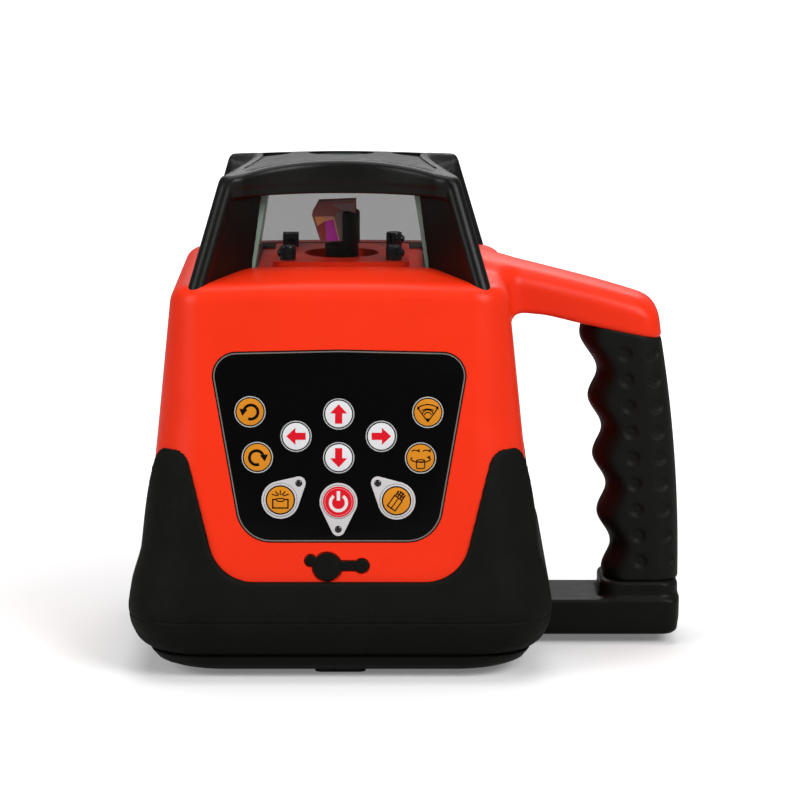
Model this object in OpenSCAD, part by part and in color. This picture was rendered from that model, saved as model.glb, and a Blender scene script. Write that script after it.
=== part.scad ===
// Rotating laser level: cast-style plastic body on a rubber bumper, side carrying handle, glazed
// lantern with a spinning prism, keypad, self-levelling gimbal and a battery drawer.
// Frame: +X towards the handle, -Y towards the keypad, +Z up.  The origin is on the axis of the
// tripod thread, in the plane of the feet.

/* [Body] */
// Half width of the orange housing at the height ref_z
body_half_x = 71.8; // [70:0.2:72]
// Half depth of the orange housing at the height ref_z
body_half_y = 75; // [73:0.2:75.4]
// Wall of the housing
wall = 3; // [2.4:0.2:3.2]
// Height of the housing's shoulder edge
shoulder_z = 142.6; // [141.6:0.2:143]
// Height of the sill that the lantern stands in
sill_z = 148; // [147.6:0.1:148.4]
// Thickness of the rubber horns over the housing
horn_proud = 1.8; // [1.4:0.1:2.2]
// Height of the rubber horns
horn_z = 87; // [80:0.5:92]

/* [Lantern] */
// Half width across the glass at the deck
glass_half_low = 34; // [33.6:0.1:34.4]
// Half width across the glass under the roof
glass_half_high = 29.5; // [29:0.1:30]
// Thickness of the glass
glass_t = 2.5; // [2:0.1:3]
// Height of the crown of the roof
roof_z = 186.2; // [185.6:0.1:187]
// Radius of the roof's domed top
crown_r = 330; // [320:1:340]
// Distance of the crown in front of the rotor's axis
crown_y = 18; // [16:0.5:20]
// Depth of the scoop in the middle of the roof's front and back edges
roof_scoop_y = 15; // [8:0.5:15]
// Depth of the scoop in the middle of the roof's side edges
roof_scoop_x = 10; // [6:0.5:10]

/* [Keypad] */
// Diameter of a round key
key_d = 11.6; // [10.6:0.1:11.8]
// Travel of a key
key_travel = 0.5; // [0.3:0.05:0.5]
// Radius of a status lens
lens_r = 1.3; // [1:0.1:1.5]

/* [Handle] */
// Half depth of the rubber grip
grip_half_y = 15.5; // [14:0.5:16]
// Spacing of the finger waves
finger_pitch = 22.2; // [21:0.2:23]
// Depth of a finger wave each way
finger_wave = 2.1; // [1:0.1:2.4]

/* [Levelling gimbal] */
// Height of the two tilt axes
tilt_z = 104; // [103:0.5:105]
// Radius of the ring's trunnions
ring_pin_r = 3; // [2.5:0.1:3.2]
// Radius of the barrel's trunnions
barrel_pin_r = 2.5; // [2.2:0.1:2.8]
// Lever from the first tilt axis to its lead screw
lever_x = 36; // [35:0.5:37]
// Lever from the second tilt axis to its lead screw
lever_y = 25; // [24.5:0.5:25.5]
// Radius of the lead screws
screw_r = 2; // [1.6:0.1:2]

/* [Rotor] */
// Radius of the rotor's neck
rotor_r = 6.85; // [6.5:0.05:7]
// Radius of the spindle
spindle_r = 4; // [3.6:0.1:4.2]
// Radius of the spindle's pulley
driven_r = 9; // [8:0.5:9.5]
// Radius of the motor's pulley
driver_r = 4; // [3.5:0.5:4.5]
// Distance from the spindle to the motor
motor_x = 24; // [24:0.5:25]

/* [Tripod and battery] */
// Radius of the tripod thread, 5/8 inch nominal
thread_r = 7.94; // [7.94:0.01:7.96]
// Diameter of a C cell
cell_d = 26.2; // [25.4:0.1:26.2]
// Length of a C cell
cell_l = 50; // [48:0.5:50]

/* [Hidden] */
$fn = 48;
HULL_FN = 32;
THIN = 0.02;

// Running and loose clearances on a radius
run_gap = 0.05;
loose_gap = 0.3;

// The housing's walls lean in by these amounts per millimetre of height above ref_z
ref_z = 40;
side_slope = 0.103;
face_slope = 0.12;
face_tilt = atan(face_slope);
face_z = 85;
face_y = -(body_half_y - face_slope * (face_z - ref_z));
edge_z = shoulder_z - 6.6;
edge_half_x = body_half_x - side_slope * (edge_z - ref_z);
edge_half_y = body_half_y - face_slope * (edge_z - ref_z);
pan_z = 9;

// Keypad layers, measured outwards from the housing's front face
overlay_low = -0.8;
overlay_high = 0.2;
key_low = -1.9;
key_high = 0.7;
key_gap = 0.35;
tear_r = 7.1;
tear_tip_r = 2.6;

// Key centres and status lens centres on the front face as [x, z]
turn_left_at = [-32.2, 98.8];
turn_right_at = [-29.6, 82.4];
arrow_left_at = [-15.6, 90];
arrow_up_at = [-0.2, 98];
arrow_down_at = [-0.2, 82.3];
arrow_right_at = [15.2, 90];
scan_at = [32, 98.6];
speed_at = [29.4, 82.2];
tilt_at = [-21.3, 67.1];
power_at = [-0.3, 66.4];
mode_at = [20.7, 66.8];
round_keys = [turn_left_at, turn_right_at, arrow_left_at, arrow_up_at, arrow_down_at,
    arrow_right_at, scan_at, speed_at];
tear_keys = [[tilt_at, [-14.6, 73.1]], [power_at, [-0.4, 56.5]], [mode_at, [13.9, 73.1]]];

// Charging jack on the front face as [x, z], its cover's hinge and its anchor
jack_at = [-4.4, 42.9];
anchor_at = [8.1, 43.3];
lobe_at = [-10.4, 45.2];
jack_cover_r = 5.2;
jack_hole_r = 3.8;

// Lantern
glass_low_z = 146.2;
glass_high_z = 174;
fin_low = [52, 57.5];
fin_high = [41.5, 46.5];
niche_half_low = glass_half_low + 0.05
    + (glass_half_low - glass_half_high) * 6 / (glass_high_z - glass_low_z);
roof_half_x = 43.5;
roof_half_y = 48.5;
cap_floor_z = 177.2;
window_floor_z = 182;
post_at = 19.7;
deck_z = 147.6;

// Levelling gimbal
ring_inner_r = 17;
ring_outer_r = 22;
ring_half_h = 5;
upright_x = 27;
upright_t = 6;
frame_z = 52;
frame_t = 4;
screw_x_at = [12, lever_x];
screw_y_at = [-lever_y, -28];
lever_pin_r = 1.8;
lever_y_z = tilt_z + 12;
nut_half_h = 5;
nut_slot = 1.5;
motor_x_top = 80;
motor_y_top = tilt_z - ring_half_h;

// Laser barrel and rotor
barrel_r = 12;
bearing_r = 9;
module_r = 8;
plate_z = 129.4;
plate_t = 1.6;
belt_z = 132.4;
belt_h = 3;
belt_t = 1;
neck_z = 138;
neck_top_z = 152.5;
column_top_z = 167.5;

// Handle core, from the foot to the top arm, and its lean in degrees
core_low = [113.2, 0, 20];
core_lean = 3.7;

// Battery bay and drawer
bay_half_x = 54.5;
bay_front_y = 17;
bay_back_y = 66;
bay_low_z = 9.5;
bay_high_z = 39.5;
bay_wall = 2;
door_low_y = 71.5;
door_high_y = 77.4;
cell_low_z = 11.4;
cell_rows = [bay_front_y + 2 + cell_d / 2, bay_front_y + 2.05 + cell_d * 1.5];
knob_z = 24.5;

// ---- Helpers ----

module rounded(half_x, half_y, r) {
    square([2 * half_x, 2 * (half_y - r)], center = true);
    square([2 * (half_x - r), 2 * half_y], center = true);
    for (sx = [-1, 1], sy = [-1, 1])
        translate([sx * (half_x - r), sy * (half_y - r)]) circle(r, $fn = HULL_FN);
}

// A thin rounded rectangle across the body, for hulls
module slab(half_x, half_y, r, z) {
    translate([0, 0, z]) linear_extrude(THIN) rounded(half_x, half_y, r);
}

// The same, standing across the handle's arm at x
module arm_slab(x, low_z, high_z, half_y, r) {
    translate([x, 0, (low_z + high_z) / 2]) rotate([90, 0, 90])
        linear_extrude(THIN) rounded(half_y, (high_z - low_z) / 2, r);
}

// Puts its children on the leaning front face at x and height z, with z outwards
module on_face(at) {
    translate([0, face_y, face_z]) rotate([90 - face_tilt, 0, 0])
        translate([at[0], (at[1] - face_z) / cos(face_tilt), 0]) children();
}

module rod(r, low, high) {
    translate([0, 0, low]) cylinder(h = high - low, r = r);
}

module tube(r_out, r_in, low, high) {
    difference() {
        rod(r_out, low, high);
        rod(r_in, low - 1, high + 1);
    }
}

module x_rod(r, low, high) {
    rotate([0, 90, 0]) rod(r, low, high);
}

module y_rod(r, low, high) {
    rotate([-90, 0, 0]) rod(r, low, high);
}

module block(low, high) {
    translate(low) cube(high - low);
}

module four(x, y) {
    for (sx = [-1, 1], sy = [-1, 1]) translate([sx * x, sy * y, 0]) children();
}

function arc(centre, r, from, to, steps) =
    [for (i = [0:steps]) let (a = from + (to - from) * i / steps)
        [centre[0] + r * cos(a), centre[1] + r * sin(a)]];

// ---- Casing envelopes that several parts share ----

module housing_envelope(inset) {
    hull() {
        slab(67 - inset, 68.5 - inset, 20 - inset, pan_z);
        slab(body_half_x + 0.8 - inset, body_half_y + 0.8 - inset, 21 - inset, 22);
        slab(body_half_x - inset, body_half_y - inset, 21 - inset, ref_z);
        slab(edge_half_x - inset, edge_half_y - inset, 19 - inset, edge_z);
        slab(edge_half_x - 1.3 - inset, edge_half_y - 1.3 - inset, 18 - inset, edge_z + 4.2 - inset);
        slab(edge_half_x - 4.4 - inset, edge_half_y - 4.5 - inset, 15 - inset, shoulder_z - inset);
        slab(36, 42, 9, sill_z - inset - THIN);
    }
}

module arm_notch() {
    block([66, -18, 3.6], [93, 18, 17.5]);
}

// Radius of a scoop from half its chord and its depth
function scoop_r(half, depth) = (half * half + depth * depth) / (2 * depth);

// The roof in plan: a rounded rectangle with an arc scooped out of each side
module roof_plan(inset) {
    front_r = scoop_r(roof_half_x - 7, roof_scoop_y);
    side_r = scoop_r(roof_half_y - 7, roof_scoop_x);
    difference() {
        rounded(roof_half_x - inset, roof_half_y - inset, 5.5 - inset);
        for (s = [-1, 1]) {
            translate([0, s * (roof_half_y - roof_scoop_y + front_r)]) circle(front_r + inset, $fn = 96);
            translate([s * (roof_half_x - roof_scoop_x + side_r), 0]) circle(side_r + inset, $fn = 96);
        }
    }
}

module roof_block(inset, low) {
    intersection() {
        translate([0, 0, low]) linear_extrude(roof_z + 1 - low) roof_plan(inset);
        translate([0, -crown_y, roof_z - crown_r]) sphere(crown_r, $fn = 240);
    }
}

// ---- Casing ----

module base_pan() {
    color("#1d1d1e") difference() {
        union() {
            difference() {
                hull() {
                    slab(58, 61, 20, 2);
                    slab(62.5, 65.5, 20, 3);
                    slab(66, 69, 20, 5.2);
                    slab(69, 72, 20, pan_z - 2 * THIN);
                }
                translate([0, 0, 5]) linear_extrude(6) rounded(61, 64, 17);
            }
            rod(24, 0, 5);
            rod(18, 4, pan_z - THIN);
            four(61.2, 55) rod(5.5, 4, pan_z - THIN);
        }
        rod(13, -1, 20);
        four(61.2, 55) {
            rod(3.8, -1, 6.6);
            rod(1.9, 6, 20);
        }
        arm_notch();
    }
}

// Outline of the opening between two rubber horns, one half, as [across, z]
function horn_side(shift) = concat(
    arc([31.2 + shift, 53.5], 16, -90, -14, 8),
    arc([61.1 + shift, horn_z - 8.8], 7, 166, 90, 6),
    [[90, horn_z + 1]]);
function mirrored(points) = [for (i = [len(points) - 1:-1:0]) [-points[i][0], points[i][1]]];

module horn_window(shift) {
    rotate([90, 0, 0]) translate([0, 0, -100]) linear_extrude(200)
        polygon(concat(mirrored(horn_side(shift)), horn_side(shift), [[90, 130], [-90, 130]]));
}

// The bumper's bowl, from the pan up to the foot of the horns
module bowl_envelope(inset) {
    hull() {
        slab(71 - inset, 72.4 - inset, 21 - inset, pan_z);
        slab(74.6 - inset, 75.8 - inset, 22 - inset, 12.4);
        slab(77.3 - inset, 78.2 - inset, 23 - inset, 18.9);
        slab(78.1 - inset, 79 - inset, 23 - inset, 25.3);
        slab(76.4 - inset, 77.6 - inset, 22 - inset, 35.5);
        slab(body_half_x + horn_proud - 0.6 - inset, body_half_y + horn_proud - 0.6 - inset,
            21.6 - inset, 45.7);
    }
}

module rubber_bumper() {
    color("#232324") difference() {
        union() {
            bowl_envelope(0);
            hull() {
                slab(body_half_x + horn_proud - 0.4, body_half_y + horn_proud - 0.5, 21.6, 43);
                slab(70, 72.5, 20.6, 75.7);
                slab(68.6, 71, 20.2, 82);
                slab(66.6, 69, 19.8, horn_z);
            }
        }
        housing_envelope(0);
        horn_window(0);
        rotate([0, 0, 90]) horn_window(3);
        block([-56, 60, 0], [56, 90, 40]);
        arm_notch();
    }
}

// The handle's top arm, which grows out of the housing
module handle_arm() {
    hull() {
        arm_slab(54, 127, 147.2, 18, 6);
        arm_slab(90, 123.4, 140, 16.5, 6);
    }
    hull() {
        arm_slab(90, 123.4, 140, 16.5, 6);
        arm_slab(112, 118.8, 132.9, 16, 5.5);
        arm_slab(119.6, 116, 127.4, 14, 4.5);
    }
}

module upper_housing() {
    color("#f0330f") difference() {
        union() {
            difference() {
                union() {
                    housing_envelope(0);
                    handle_arm();
                }
                housing_envelope(wall);
                translate([0, 0, pan_z - 1]) linear_extrude(3) rounded(64, 65.5, 17);
            }
            intersection() {
                housing_envelope(0);
                for (sx = [-1, 1], sy = [-1, 1]) translate([sx * 61.2, sy * 55, 0]) {
                    rod(4.4, pan_z, 30);
                    translate([sx * 7, 0, 20 + pan_z / 2]) cube([14, 3, 21], center = true);
                }
            }
        }
        translate([0, 0, 140]) linear_extrude(20) rounded(34.5, 34.5, 2);
        on_face([0, face_z]) translate([0, 0, overlay_low]) linear_extrude(5) keypad_outline(0);
        on_face([0, 93]) translate([0, 0, -5]) linear_extrude(9) rounded(39.3, 19, 8);
        on_face([0, 69.5]) translate([0, 0, -5]) linear_extrude(9) rounded(30, 15, 8);
        on_face(jack_at) rod(jack_hole_r, -8, 3);
        on_face(jack_at) translate([0, 0, -1.2]) linear_extrude(5) hull() {
            circle(6.4, $fn = HULL_FN);
            translate(lobe_at - jack_at) circle(2.7, $fn = HULL_FN);
            translate(anchor_at - jack_at) circle(3.6, $fn = HULL_FN);
        }
        on_face(anchor_at) rod(1.5, -8, 3);
        block([-57.5, 60, 0], [57.5, 90, 42]);
        arm_notch();
        four(61.2, 55) rod(1.9, 0, 26);
        four(44, 48) rod(1.5, 130, 150);
        handle_line() rod(8, 0, 104);
    }
}

module foot_arm() {
    color("#202022") difference() {
        block([66, -18, 3.6], [93, 18, 17.5]);
        block([70, -14, 2], [89, 14, 14]);
    }
}

module foot_slab(end_x, half_y, r, z) {
    translate([0, 0, z]) linear_extrude(THIN) {
        translate([93, -half_y]) square([1, 2 * half_y]);
        for (s = [-1, 1]) translate([end_x - r, s * (half_y - r)]) circle(r, $fn = HULL_FN);
    }
}

module handle_foot() {
    color("#202022") difference() {
        union() {
            hull() {
                foot_slab(124.5, 16, 7, 3.6);
                foot_slab(127.4, 18, 8, 7);
                foot_slab(127.8, 18, 8, 17.5 - THIN);
            }
            translate([112.8, 0, 17]) linear_extrude(7) rounded(15, 16.5, 9);
        }
        handle_line() rod(8, -12, 20);
    }
}

// The handle's core leans from the foot to the top arm
module handle_line() {
    translate(core_low) rotate([0, -core_lean, 0]) children();
}

module handle_core() {
    color("#6e7073") handle_line() tube(8, 6, -11, 103);
}

// Inner and outer edges of the grip at height z
function grip_in(z) = 94.1 + 0.085 * (104 - z) + finger_wave * cos(360 * (z - 104) / finger_pitch);
function grip_out(z) = 128.2 - pow(max(z - 30, 0), 2) / 1022;

module grip_section(in_x, out_x, z) {
    translate([(in_x + out_x) / 2, 0, z]) linear_extrude(THIN)
        rounded((out_x - in_x) / 2, grip_half_y, 9, $fn = HULL_FN);
}

module grip_sleeve() {
    steps = 20;
    low = 24;
    high = 113;
    color("#262627") difference() {
        union() {
            for (i = [0:steps - 1]) hull() {
                z0 = low + (high - low) * i / steps;
                z1 = low + (high - low) * (i + 1) / steps;
                grip_section(grip_in(z0), grip_out(z0), z0);
                grip_section(grip_in(z1), grip_out(z1), z1);
            }
            intersection() {
                hull() {
                    grip_section(grip_in(high), grip_out(high), high);
                    grip_section(87.5, 121, 124);
                }
                translate([0, 60, 0]) rotate([90, 0, 0]) linear_extrude(120)
                    polygon([[80, 100], [135, 100], [135, 112.6], [120.5, 115.6], [90, 122.9], [80, 125]]);
            }
        }
        handle_line() rod(8.06, -5, 110);
        handle_arm();
    }
}

// ---- Lantern ----

module roof_frame() {
    color("#17171a") difference() {
        union() {
            for (sx = [-1, 1], sy = [-1, 1]) hull() {
                translate([sx * 34.5, sy * 34.5, 141]) cylinder(h = THIN, r = 1.4, $fn = HULL_FN);
                translate([sx * fin_low[0], sy * fin_low[1], 141]) cylinder(h = THIN, r = 3, $fn = HULL_FN);
                translate([sx * 30, sy * 30, 176]) cylinder(h = THIN, r = 1.4, $fn = HULL_FN);
                translate([sx * fin_high[0], sy * fin_high[1], 176]) cylinder(h = THIN, r = 3, $fn = HULL_FN);
            }
            roof_block(0, glass_high_z);
        }
        housing_envelope(0);
        hull() {
            slab(niche_half_low, niche_half_low, 0.1, glass_low_z - 6);
            slab(glass_half_high + 0.05, glass_half_high + 0.05, 0.1, glass_high_z - THIN);
        }
        translate([0, 0, cap_floor_z]) linear_extrude(20) roof_plan(4);
        rod(9, 170, 180);
        four(44, 48) rod(1.5, 130, 152);
    }
}

module roof_cap() {
    color("#1b1b1e") difference() {
        roof_block(4.3, cap_floor_z);
        rod(12.4, window_floor_z + 2, 200);
        rod(10.5, window_floor_z, 200);
        rod(9, 170, 200);
        for (s = [-1, 1]) translate([s * 30, 3, 0]) rod(11, 181.2, 200);
    }
}

module roof_window() {
    color("#b9cdc6", 0.5) rod(10.5, window_floor_z, window_floor_z + 2);
}

// One pane from half width low to half width high, facing -Y
module pane(low_w, high_w) {
    hull() {
        translate([-low_w, -glass_half_low, glass_low_z]) cube([2 * low_w, glass_t, THIN]);
        translate([-high_w, -glass_half_high, glass_high_z - 2 * THIN])
            cube([2 * high_w, glass_t, THIN]);
    }
}

module lantern_glass() {
    side_low = glass_half_low - glass_t - THIN;
    side_high = glass_half_high - glass_t - THIN;
    color("#b9cdc6", 0.4) {
        for (a = [0, 180]) rotate(a) pane(glass_half_low, glass_half_high);
        for (a = [90, 270]) rotate(a) pane(side_low, side_high);
    }
}

module lantern_gasket() {
    color("#2a2a2a") translate([0, 0, 145]) difference() {
        linear_extrude(glass_low_z - 145) rounded(34.4, 34.4, 2);
        translate([0, 0, -1]) linear_extrude(4) rounded(30.8, 30.8, 1);
    }
}

module inner_deck() {
    color("#e0300f") difference() {
        union() {
            translate([0, 0, 141.9]) linear_extrude(3) rounded(35.8, 35.8, 3);
            translate([0, 0, 144]) linear_extrude(deck_z - 144) rounded(25.4, 27, 4);
        }
        rod(14, 130, 160);
        four(post_at, post_at) rod(1.6, 130, 160);
    }
}

module deck_posts() {
    color("#111112") four(post_at, post_at) {
        rod(1.6, 143, deck_z + 1);
        rod(3, deck_z, deck_z + 3);
        translate([0, 0, deck_z + 3]) sphere(2.7);
    }
}

// ---- Keypad and jack ----

module keypad_outline(inset) {
    hull() {
        for (s = [-1, 1]) {
            translate([s * 37.2, 111.8 - face_z]) circle(8.8 - inset, $fn = HULL_FN);
            translate([s * 24.6, 64.4 - face_z]) circle(13 - inset, $fn = HULL_FN);
        }
        translate([0, 121.4 - face_z - 20 - inset]) circle(20, $fn = HULL_FN);
    }
}

module keypad_overlay() {
    color("#0e0e10") difference() {
        on_face([0, face_z]) translate([0, 0, overlay_low])
            linear_extrude(overlay_high - overlay_low) keypad_outline(0.15);
        for (at = round_keys) on_face(at) rod(key_d / 2 + key_gap, -3, 3);
        for (pair = tear_keys) {
            on_face(pair[0]) rod(key_d / 2 + key_gap, -3, 3);
            on_face(pair[1]) rod(lens_r, -3, 3);
        }
    }
}

module keypad_surrounds() {
    color("#ececec") for (pair = tear_keys) difference() {
        on_face(pair[0]) translate([0, 0, overlay_high]) linear_extrude(0.3) hull() {
            circle(tear_r, $fn = HULL_FN);
            translate(pair[1] - pair[0]) circle(tear_tip_r, $fn = HULL_FN);
        }
        on_face(pair[0]) rod(key_d / 2 + key_gap, -3, 3);
        on_face(pair[1]) rod(lens_r, -3, 3);
    }
}

module keypad_board() {
    color("#1f5c3a") {
        on_face([0, face_z]) translate([0, 0, -wall - 1.6]) linear_extrude(1.6)
            translate([0, -1]) square([72, 66], center = true);
        for (at = round_keys) on_face(at) rod(2.5, -wall - 0.1, key_low - key_travel - 0.1);
        for (pair = tear_keys) on_face(pair[0]) rod(2.5, -wall - 0.1, key_low - key_travel - 0.1);
    }
}

module status_lenses() {
    color("#d8e6d0") for (pair = tear_keys) on_face(pair[1]) rod(lens_r, -wall + 0.05, 0.75);
}

module key(at, shade) {
    color(shade) on_face(at) {
        rod(key_d / 2, key_low + 0.3, key_high);
        rod(key_d / 2 + 0.9, key_low, key_low + 0.8);
    }
}

module key_turn_left() key(turn_left_at, "#e8a33a");
module key_turn_right() key(turn_right_at, "#e8a33a");
module key_arrow_left() key(arrow_left_at, "#f2f2f2");
module key_arrow_up() key(arrow_up_at, "#f2f2f2");
module key_arrow_down() key(arrow_down_at, "#f2f2f2");
module key_arrow_right() key(arrow_right_at, "#f2f2f2");
module key_scan() key(scan_at, "#e8a33a");
module key_speed() key(speed_at, "#e8a33a");
module key_tilt() key(tilt_at, "#e8a33a");
module key_power() key(power_at, "#d8202a");
module key_mode() key(mode_at, "#e8a33a");

module charge_jack() {
    color("#3a3a3c") on_face(jack_at) difference() {
        rod(5.6, -14, -wall - 0.1);
        rod(3.4, -12, 0);
    }
}

module jack_anchor() {
    color("#191919") {
        on_face(anchor_at) rod(3, -1.1, 0.7);
        on_face(anchor_at) rod(1.5, -5, -1);
        on_face(anchor_at) rod(2.6, -5.4, -wall - 0.2);
    }
}

module jack_cover() {
    color("#191919") {
        on_face(jack_at) rod(jack_cover_r, -0.9, 0.9);
        on_face(jack_at) rod(3.2, -2.8, -0.8);
        on_face(lobe_at) rod(2, -0.9, 0.5);
    }
}

// ---- Base hardware ----

module tripod_insert() {
    color("#b08d4a") difference() {
        rod(13, 0, 20);
        rod(thread_r, -1, 21);
    }
}

module plumb_window() {
    color("#b9cdc6", 0.5) rod(11, 20, 22);
}

module feet() {
    color("#222222") for (a = [0:90:270]) rotate(a) translate([0, -56, 0])
        linear_extrude(2) rounded(9.3, 3.4, 2.5);
}

module case_screws() {
    color("#9a9a9c") {
        four(61.2, 55) {
            rod(3.5, 4.4, 6.6);
            rod(1.9, 6.5, 25);
        }
        four(44, 48) {
            rod(3, 131.5, 134);
            rod(1.5, 133.9, 151);
        }
    }
}

module main_board() {
    color("#1f5c3a") difference() {
        union() {
            block([-50, 20, 43.5], [50, 66, 45.1]);
            block([-30, 48, 45.1], [-12, 60, 48]);
            block([18, 50, 45.1], [36, 62, 50]);
        }
        for (s = [-1, 1]) translate([s * 40, 40, 0]) rod(5, 40, 50);
    }
}

module battery_bay() {
    color("#2b2b2d") {
        difference() {
            block([-bay_half_x - bay_wall, bay_front_y - bay_wall, bay_low_z - bay_wall + 1.5],
                [bay_half_x + bay_wall, bay_back_y, bay_high_z + bay_wall]);
            block([-bay_half_x, bay_front_y, bay_low_z], [bay_half_x, 90, bay_high_z]);
        }
        for (s = [-1, 1], y = [24, 62]) translate([s * 30, y, 0])
            rod(3, bay_high_z + bay_wall - 0.5, 43.5);
    }
}

// ---- Levelling gimbal ----

module gimbal_frame() {
    color("#a9abad") difference() {
        union() {
            translate([0, 0, frame_z]) linear_extrude(frame_t) rounded(46, 46, 6);
            for (s = [-1, 1]) translate([s * (upright_x + upright_t / 2), 0, 0]) {
                translate([0, 0, (frame_z + tilt_z + 7) / 2])
                    cube([upright_t, 18, tilt_z + 7 - frame_z], center = true);
                translate([s * 40 - s * (upright_x + upright_t / 2), -40, 0]) rod(4, 5, frame_z + 1);
                translate([s * 40 - s * (upright_x + upright_t / 2), 40, 0])
                    rod(4, bay_high_z + bay_wall, frame_z + 1);
            }
        }
        rod(20, 40, 60);
        translate([0, 0, tilt_z]) x_rod(ring_pin_r + run_gap, -60, 60);
    }
}

module motor(at, r, low, high) {
    color("#8d8f92") translate([at[0], at[1], 0]) difference() {
        rod(r, low, high);
        rod(screw_r + run_gap, high - 6, high + 1);
    }
}

module level_motor_x() motor(screw_x_at, 8, frame_z + frame_t, motor_x_top);
module level_motor_y() motor(screw_y_at, 7.5, motor_y_top - 21, motor_y_top);

module lead_screw(at, low, high) {
    color("#c9cacc") translate([at[0], at[1], 0]) rod(screw_r, low, high);
}

module lead_screw_x() lead_screw(screw_x_at, motor_x_top - 5, 120);
module lead_screw_y() lead_screw(screw_y_at, motor_y_top - 5, 126);

module lead_nut_x() {
    color("#e6e2d2") difference() {
        union() {
            translate([screw_x_at[0], screw_x_at[1], 0]) rod(5.5, tilt_z - nut_half_h, tilt_z + nut_half_h);
            block([1, lever_x - 4.5, tilt_z - nut_half_h], [12, lever_x + 4.5, tilt_z + nut_half_h]);
        }
        translate([screw_x_at[0], screw_x_at[1], 0]) rod(screw_r + run_gap, 80, 130);
        translate([0, lever_x, tilt_z]) x_rod(lever_pin_r + loose_gap, -5, 7);
    }
}

module lead_nut_y() {
    color("#e6e2d2") difference() {
        union() {
            translate([screw_y_at[0], screw_y_at[1], 0])
                rod(5.5, lever_y_z - nut_half_h, lever_y_z + nut_half_h);
            block([-lever_y - 5.5, screw_y_at[1], lever_y_z - nut_half_h],
                [-lever_y + 5.5, screw_y_at[1] + 11, lever_y_z + nut_half_h]);
        }
        translate([screw_y_at[0], screw_y_at[1], 0]) rod(screw_r + run_gap, 80, 130);
        hull() for (s = [-1, 1]) translate([s * nut_slot - lever_y, 0, lever_y_z])
            y_rod(lever_pin_r + loose_gap, screw_y_at[1] + 5, 0);
    }
}

module tilt_ring() {
    color("#b4b6b8") difference() {
        union() {
            rod(ring_outer_r, tilt_z - ring_half_h, tilt_z + ring_half_h);
            translate([0, 0, tilt_z]) for (s = [0, 180]) rotate(s)
                x_rod(ring_pin_r, 20, upright_x + upright_t - 0.5);
            block([-6, 20, tilt_z - 2.5], [-1, lever_x + 3, tilt_z + 2.5]);
            translate([0, lever_x, tilt_z]) x_rod(lever_pin_r, -2, 6);
            hull() {
                translate([screw_y_at[0], screw_y_at[1], motor_y_top])
                    cylinder(h = 4, r = 7.5, $fn = HULL_FN);
                translate([-11, -16, motor_y_top]) cylinder(h = 4, r = 5, $fn = HULL_FN);
            }
        }
        rod(ring_inner_r, 80, 130);
        translate([0, 0, tilt_z]) y_rod(barrel_pin_r + run_gap, -24, 24);
        translate([screw_y_at[0], screw_y_at[1], 0]) rod(screw_r + loose_gap, 90, 110);
    }
}

module laser_barrel() {
    color("#9fa1a4") difference() {
        union() {
            rod(barrel_r, 66, plate_z + plate_t);
            translate([0, 0, plate_z]) linear_extrude(plate_t) hull() {
                circle(barrel_r - 1.5, $fn = HULL_FN);
                translate([motor_x, 0]) circle(8, $fn = HULL_FN);
            }
            translate([0, 0, tilt_z]) for (s = [0, 180]) rotate(s)
                y_rod(barrel_pin_r, 11, ring_outer_r - 0.5);
            hull() {
                translate([-7, -7, lever_y_z]) cube([5, 5, 5], center = true);
                translate([-lever_y, -13.5, lever_y_z]) cube([5, 3, 5], center = true);
            }
            translate([-lever_y, 0, lever_y_z]) y_rod(lever_pin_r, -21.5, -13);
        }
        rod(module_r, 60, 112);
        rod(bearing_r, 112, 140);
        translate([motor_x, 0, 0]) rod(2, 120, 140);
    }
}

module laser_module() {
    color("#7a6a3c") difference() {
        rod(module_r, 70, 104);
        rod(2.5, 100, 110);
    }
}

module spindle_bearings() {
    color("#c4c6c8") for (z = [114, 124]) tube(bearing_r, spindle_r + run_gap, z, z + 4);
}

module drive_motor() {
    color("#808285") translate([motor_x, 0, 0]) difference() {
        rod(7.5, plate_z - 11.9, plate_z);
        rod(1.5 + run_gap, plate_z - 5, plate_z + 1);
    }
}

module pulley(r) {
    rod(r, belt_z - 0.9, belt_z + belt_h + 0.9);
    rod(r + 1.5, belt_z - 0.9, belt_z - 0.3);
    rod(r + 1.5, belt_z + belt_h + 0.3, belt_z + belt_h + 0.9);
}

module motor_pulley() {
    color("#d9d6cc") translate([motor_x, 0, 0]) {
        pulley(driver_r);
        rod(1.5, plate_z - 4, belt_z);
    }
}

module driven_pulley() {
    color("#d9d6cc") difference() {
        pulley(driven_r);
        rod(spindle_r, 120, 150);
    }
}

module belt_line(grow) {
    hull() {
        circle(driven_r + grow, $fn = 64);
        translate([motor_x, 0]) circle(driver_r + grow, $fn = 64);
    }
}

module drive_belt() {
    color("#1a1a1a") translate([0, 0, belt_z]) linear_extrude(belt_h) difference() {
        belt_line(0.08 + belt_t);
        belt_line(0.08);
    }
}

module rotor_spindle() {
    color("#d2d4d6") tube(spindle_r, 2.5, 113, 146);
}

module rotor_head() {
    color("#101012") difference() {
        union() {
            rod(rotor_r, neck_z, neck_top_z);
            intersection() {
                rod(rotor_r, neck_top_z - 1, column_top_z);
                block([0.4, -10, neck_top_z - 1], [10, 10, column_top_z]);
            }
        }
        rod(spindle_r, neck_z - 1, 146);
        rod(2.5, 140, neck_top_z + 1);
    }
}

module pentaprism() {
    color("#7a1a3a") translate([0, 5.4, 0]) rotate([90, 0, 0]) linear_extrude(10.8)
        polygon([[0.4, neck_top_z], [-7.6, neck_top_z], [-10.8, 162.6], [-8, 167], [0.4, 168]]);
}

// ---- Battery drawer ----

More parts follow.
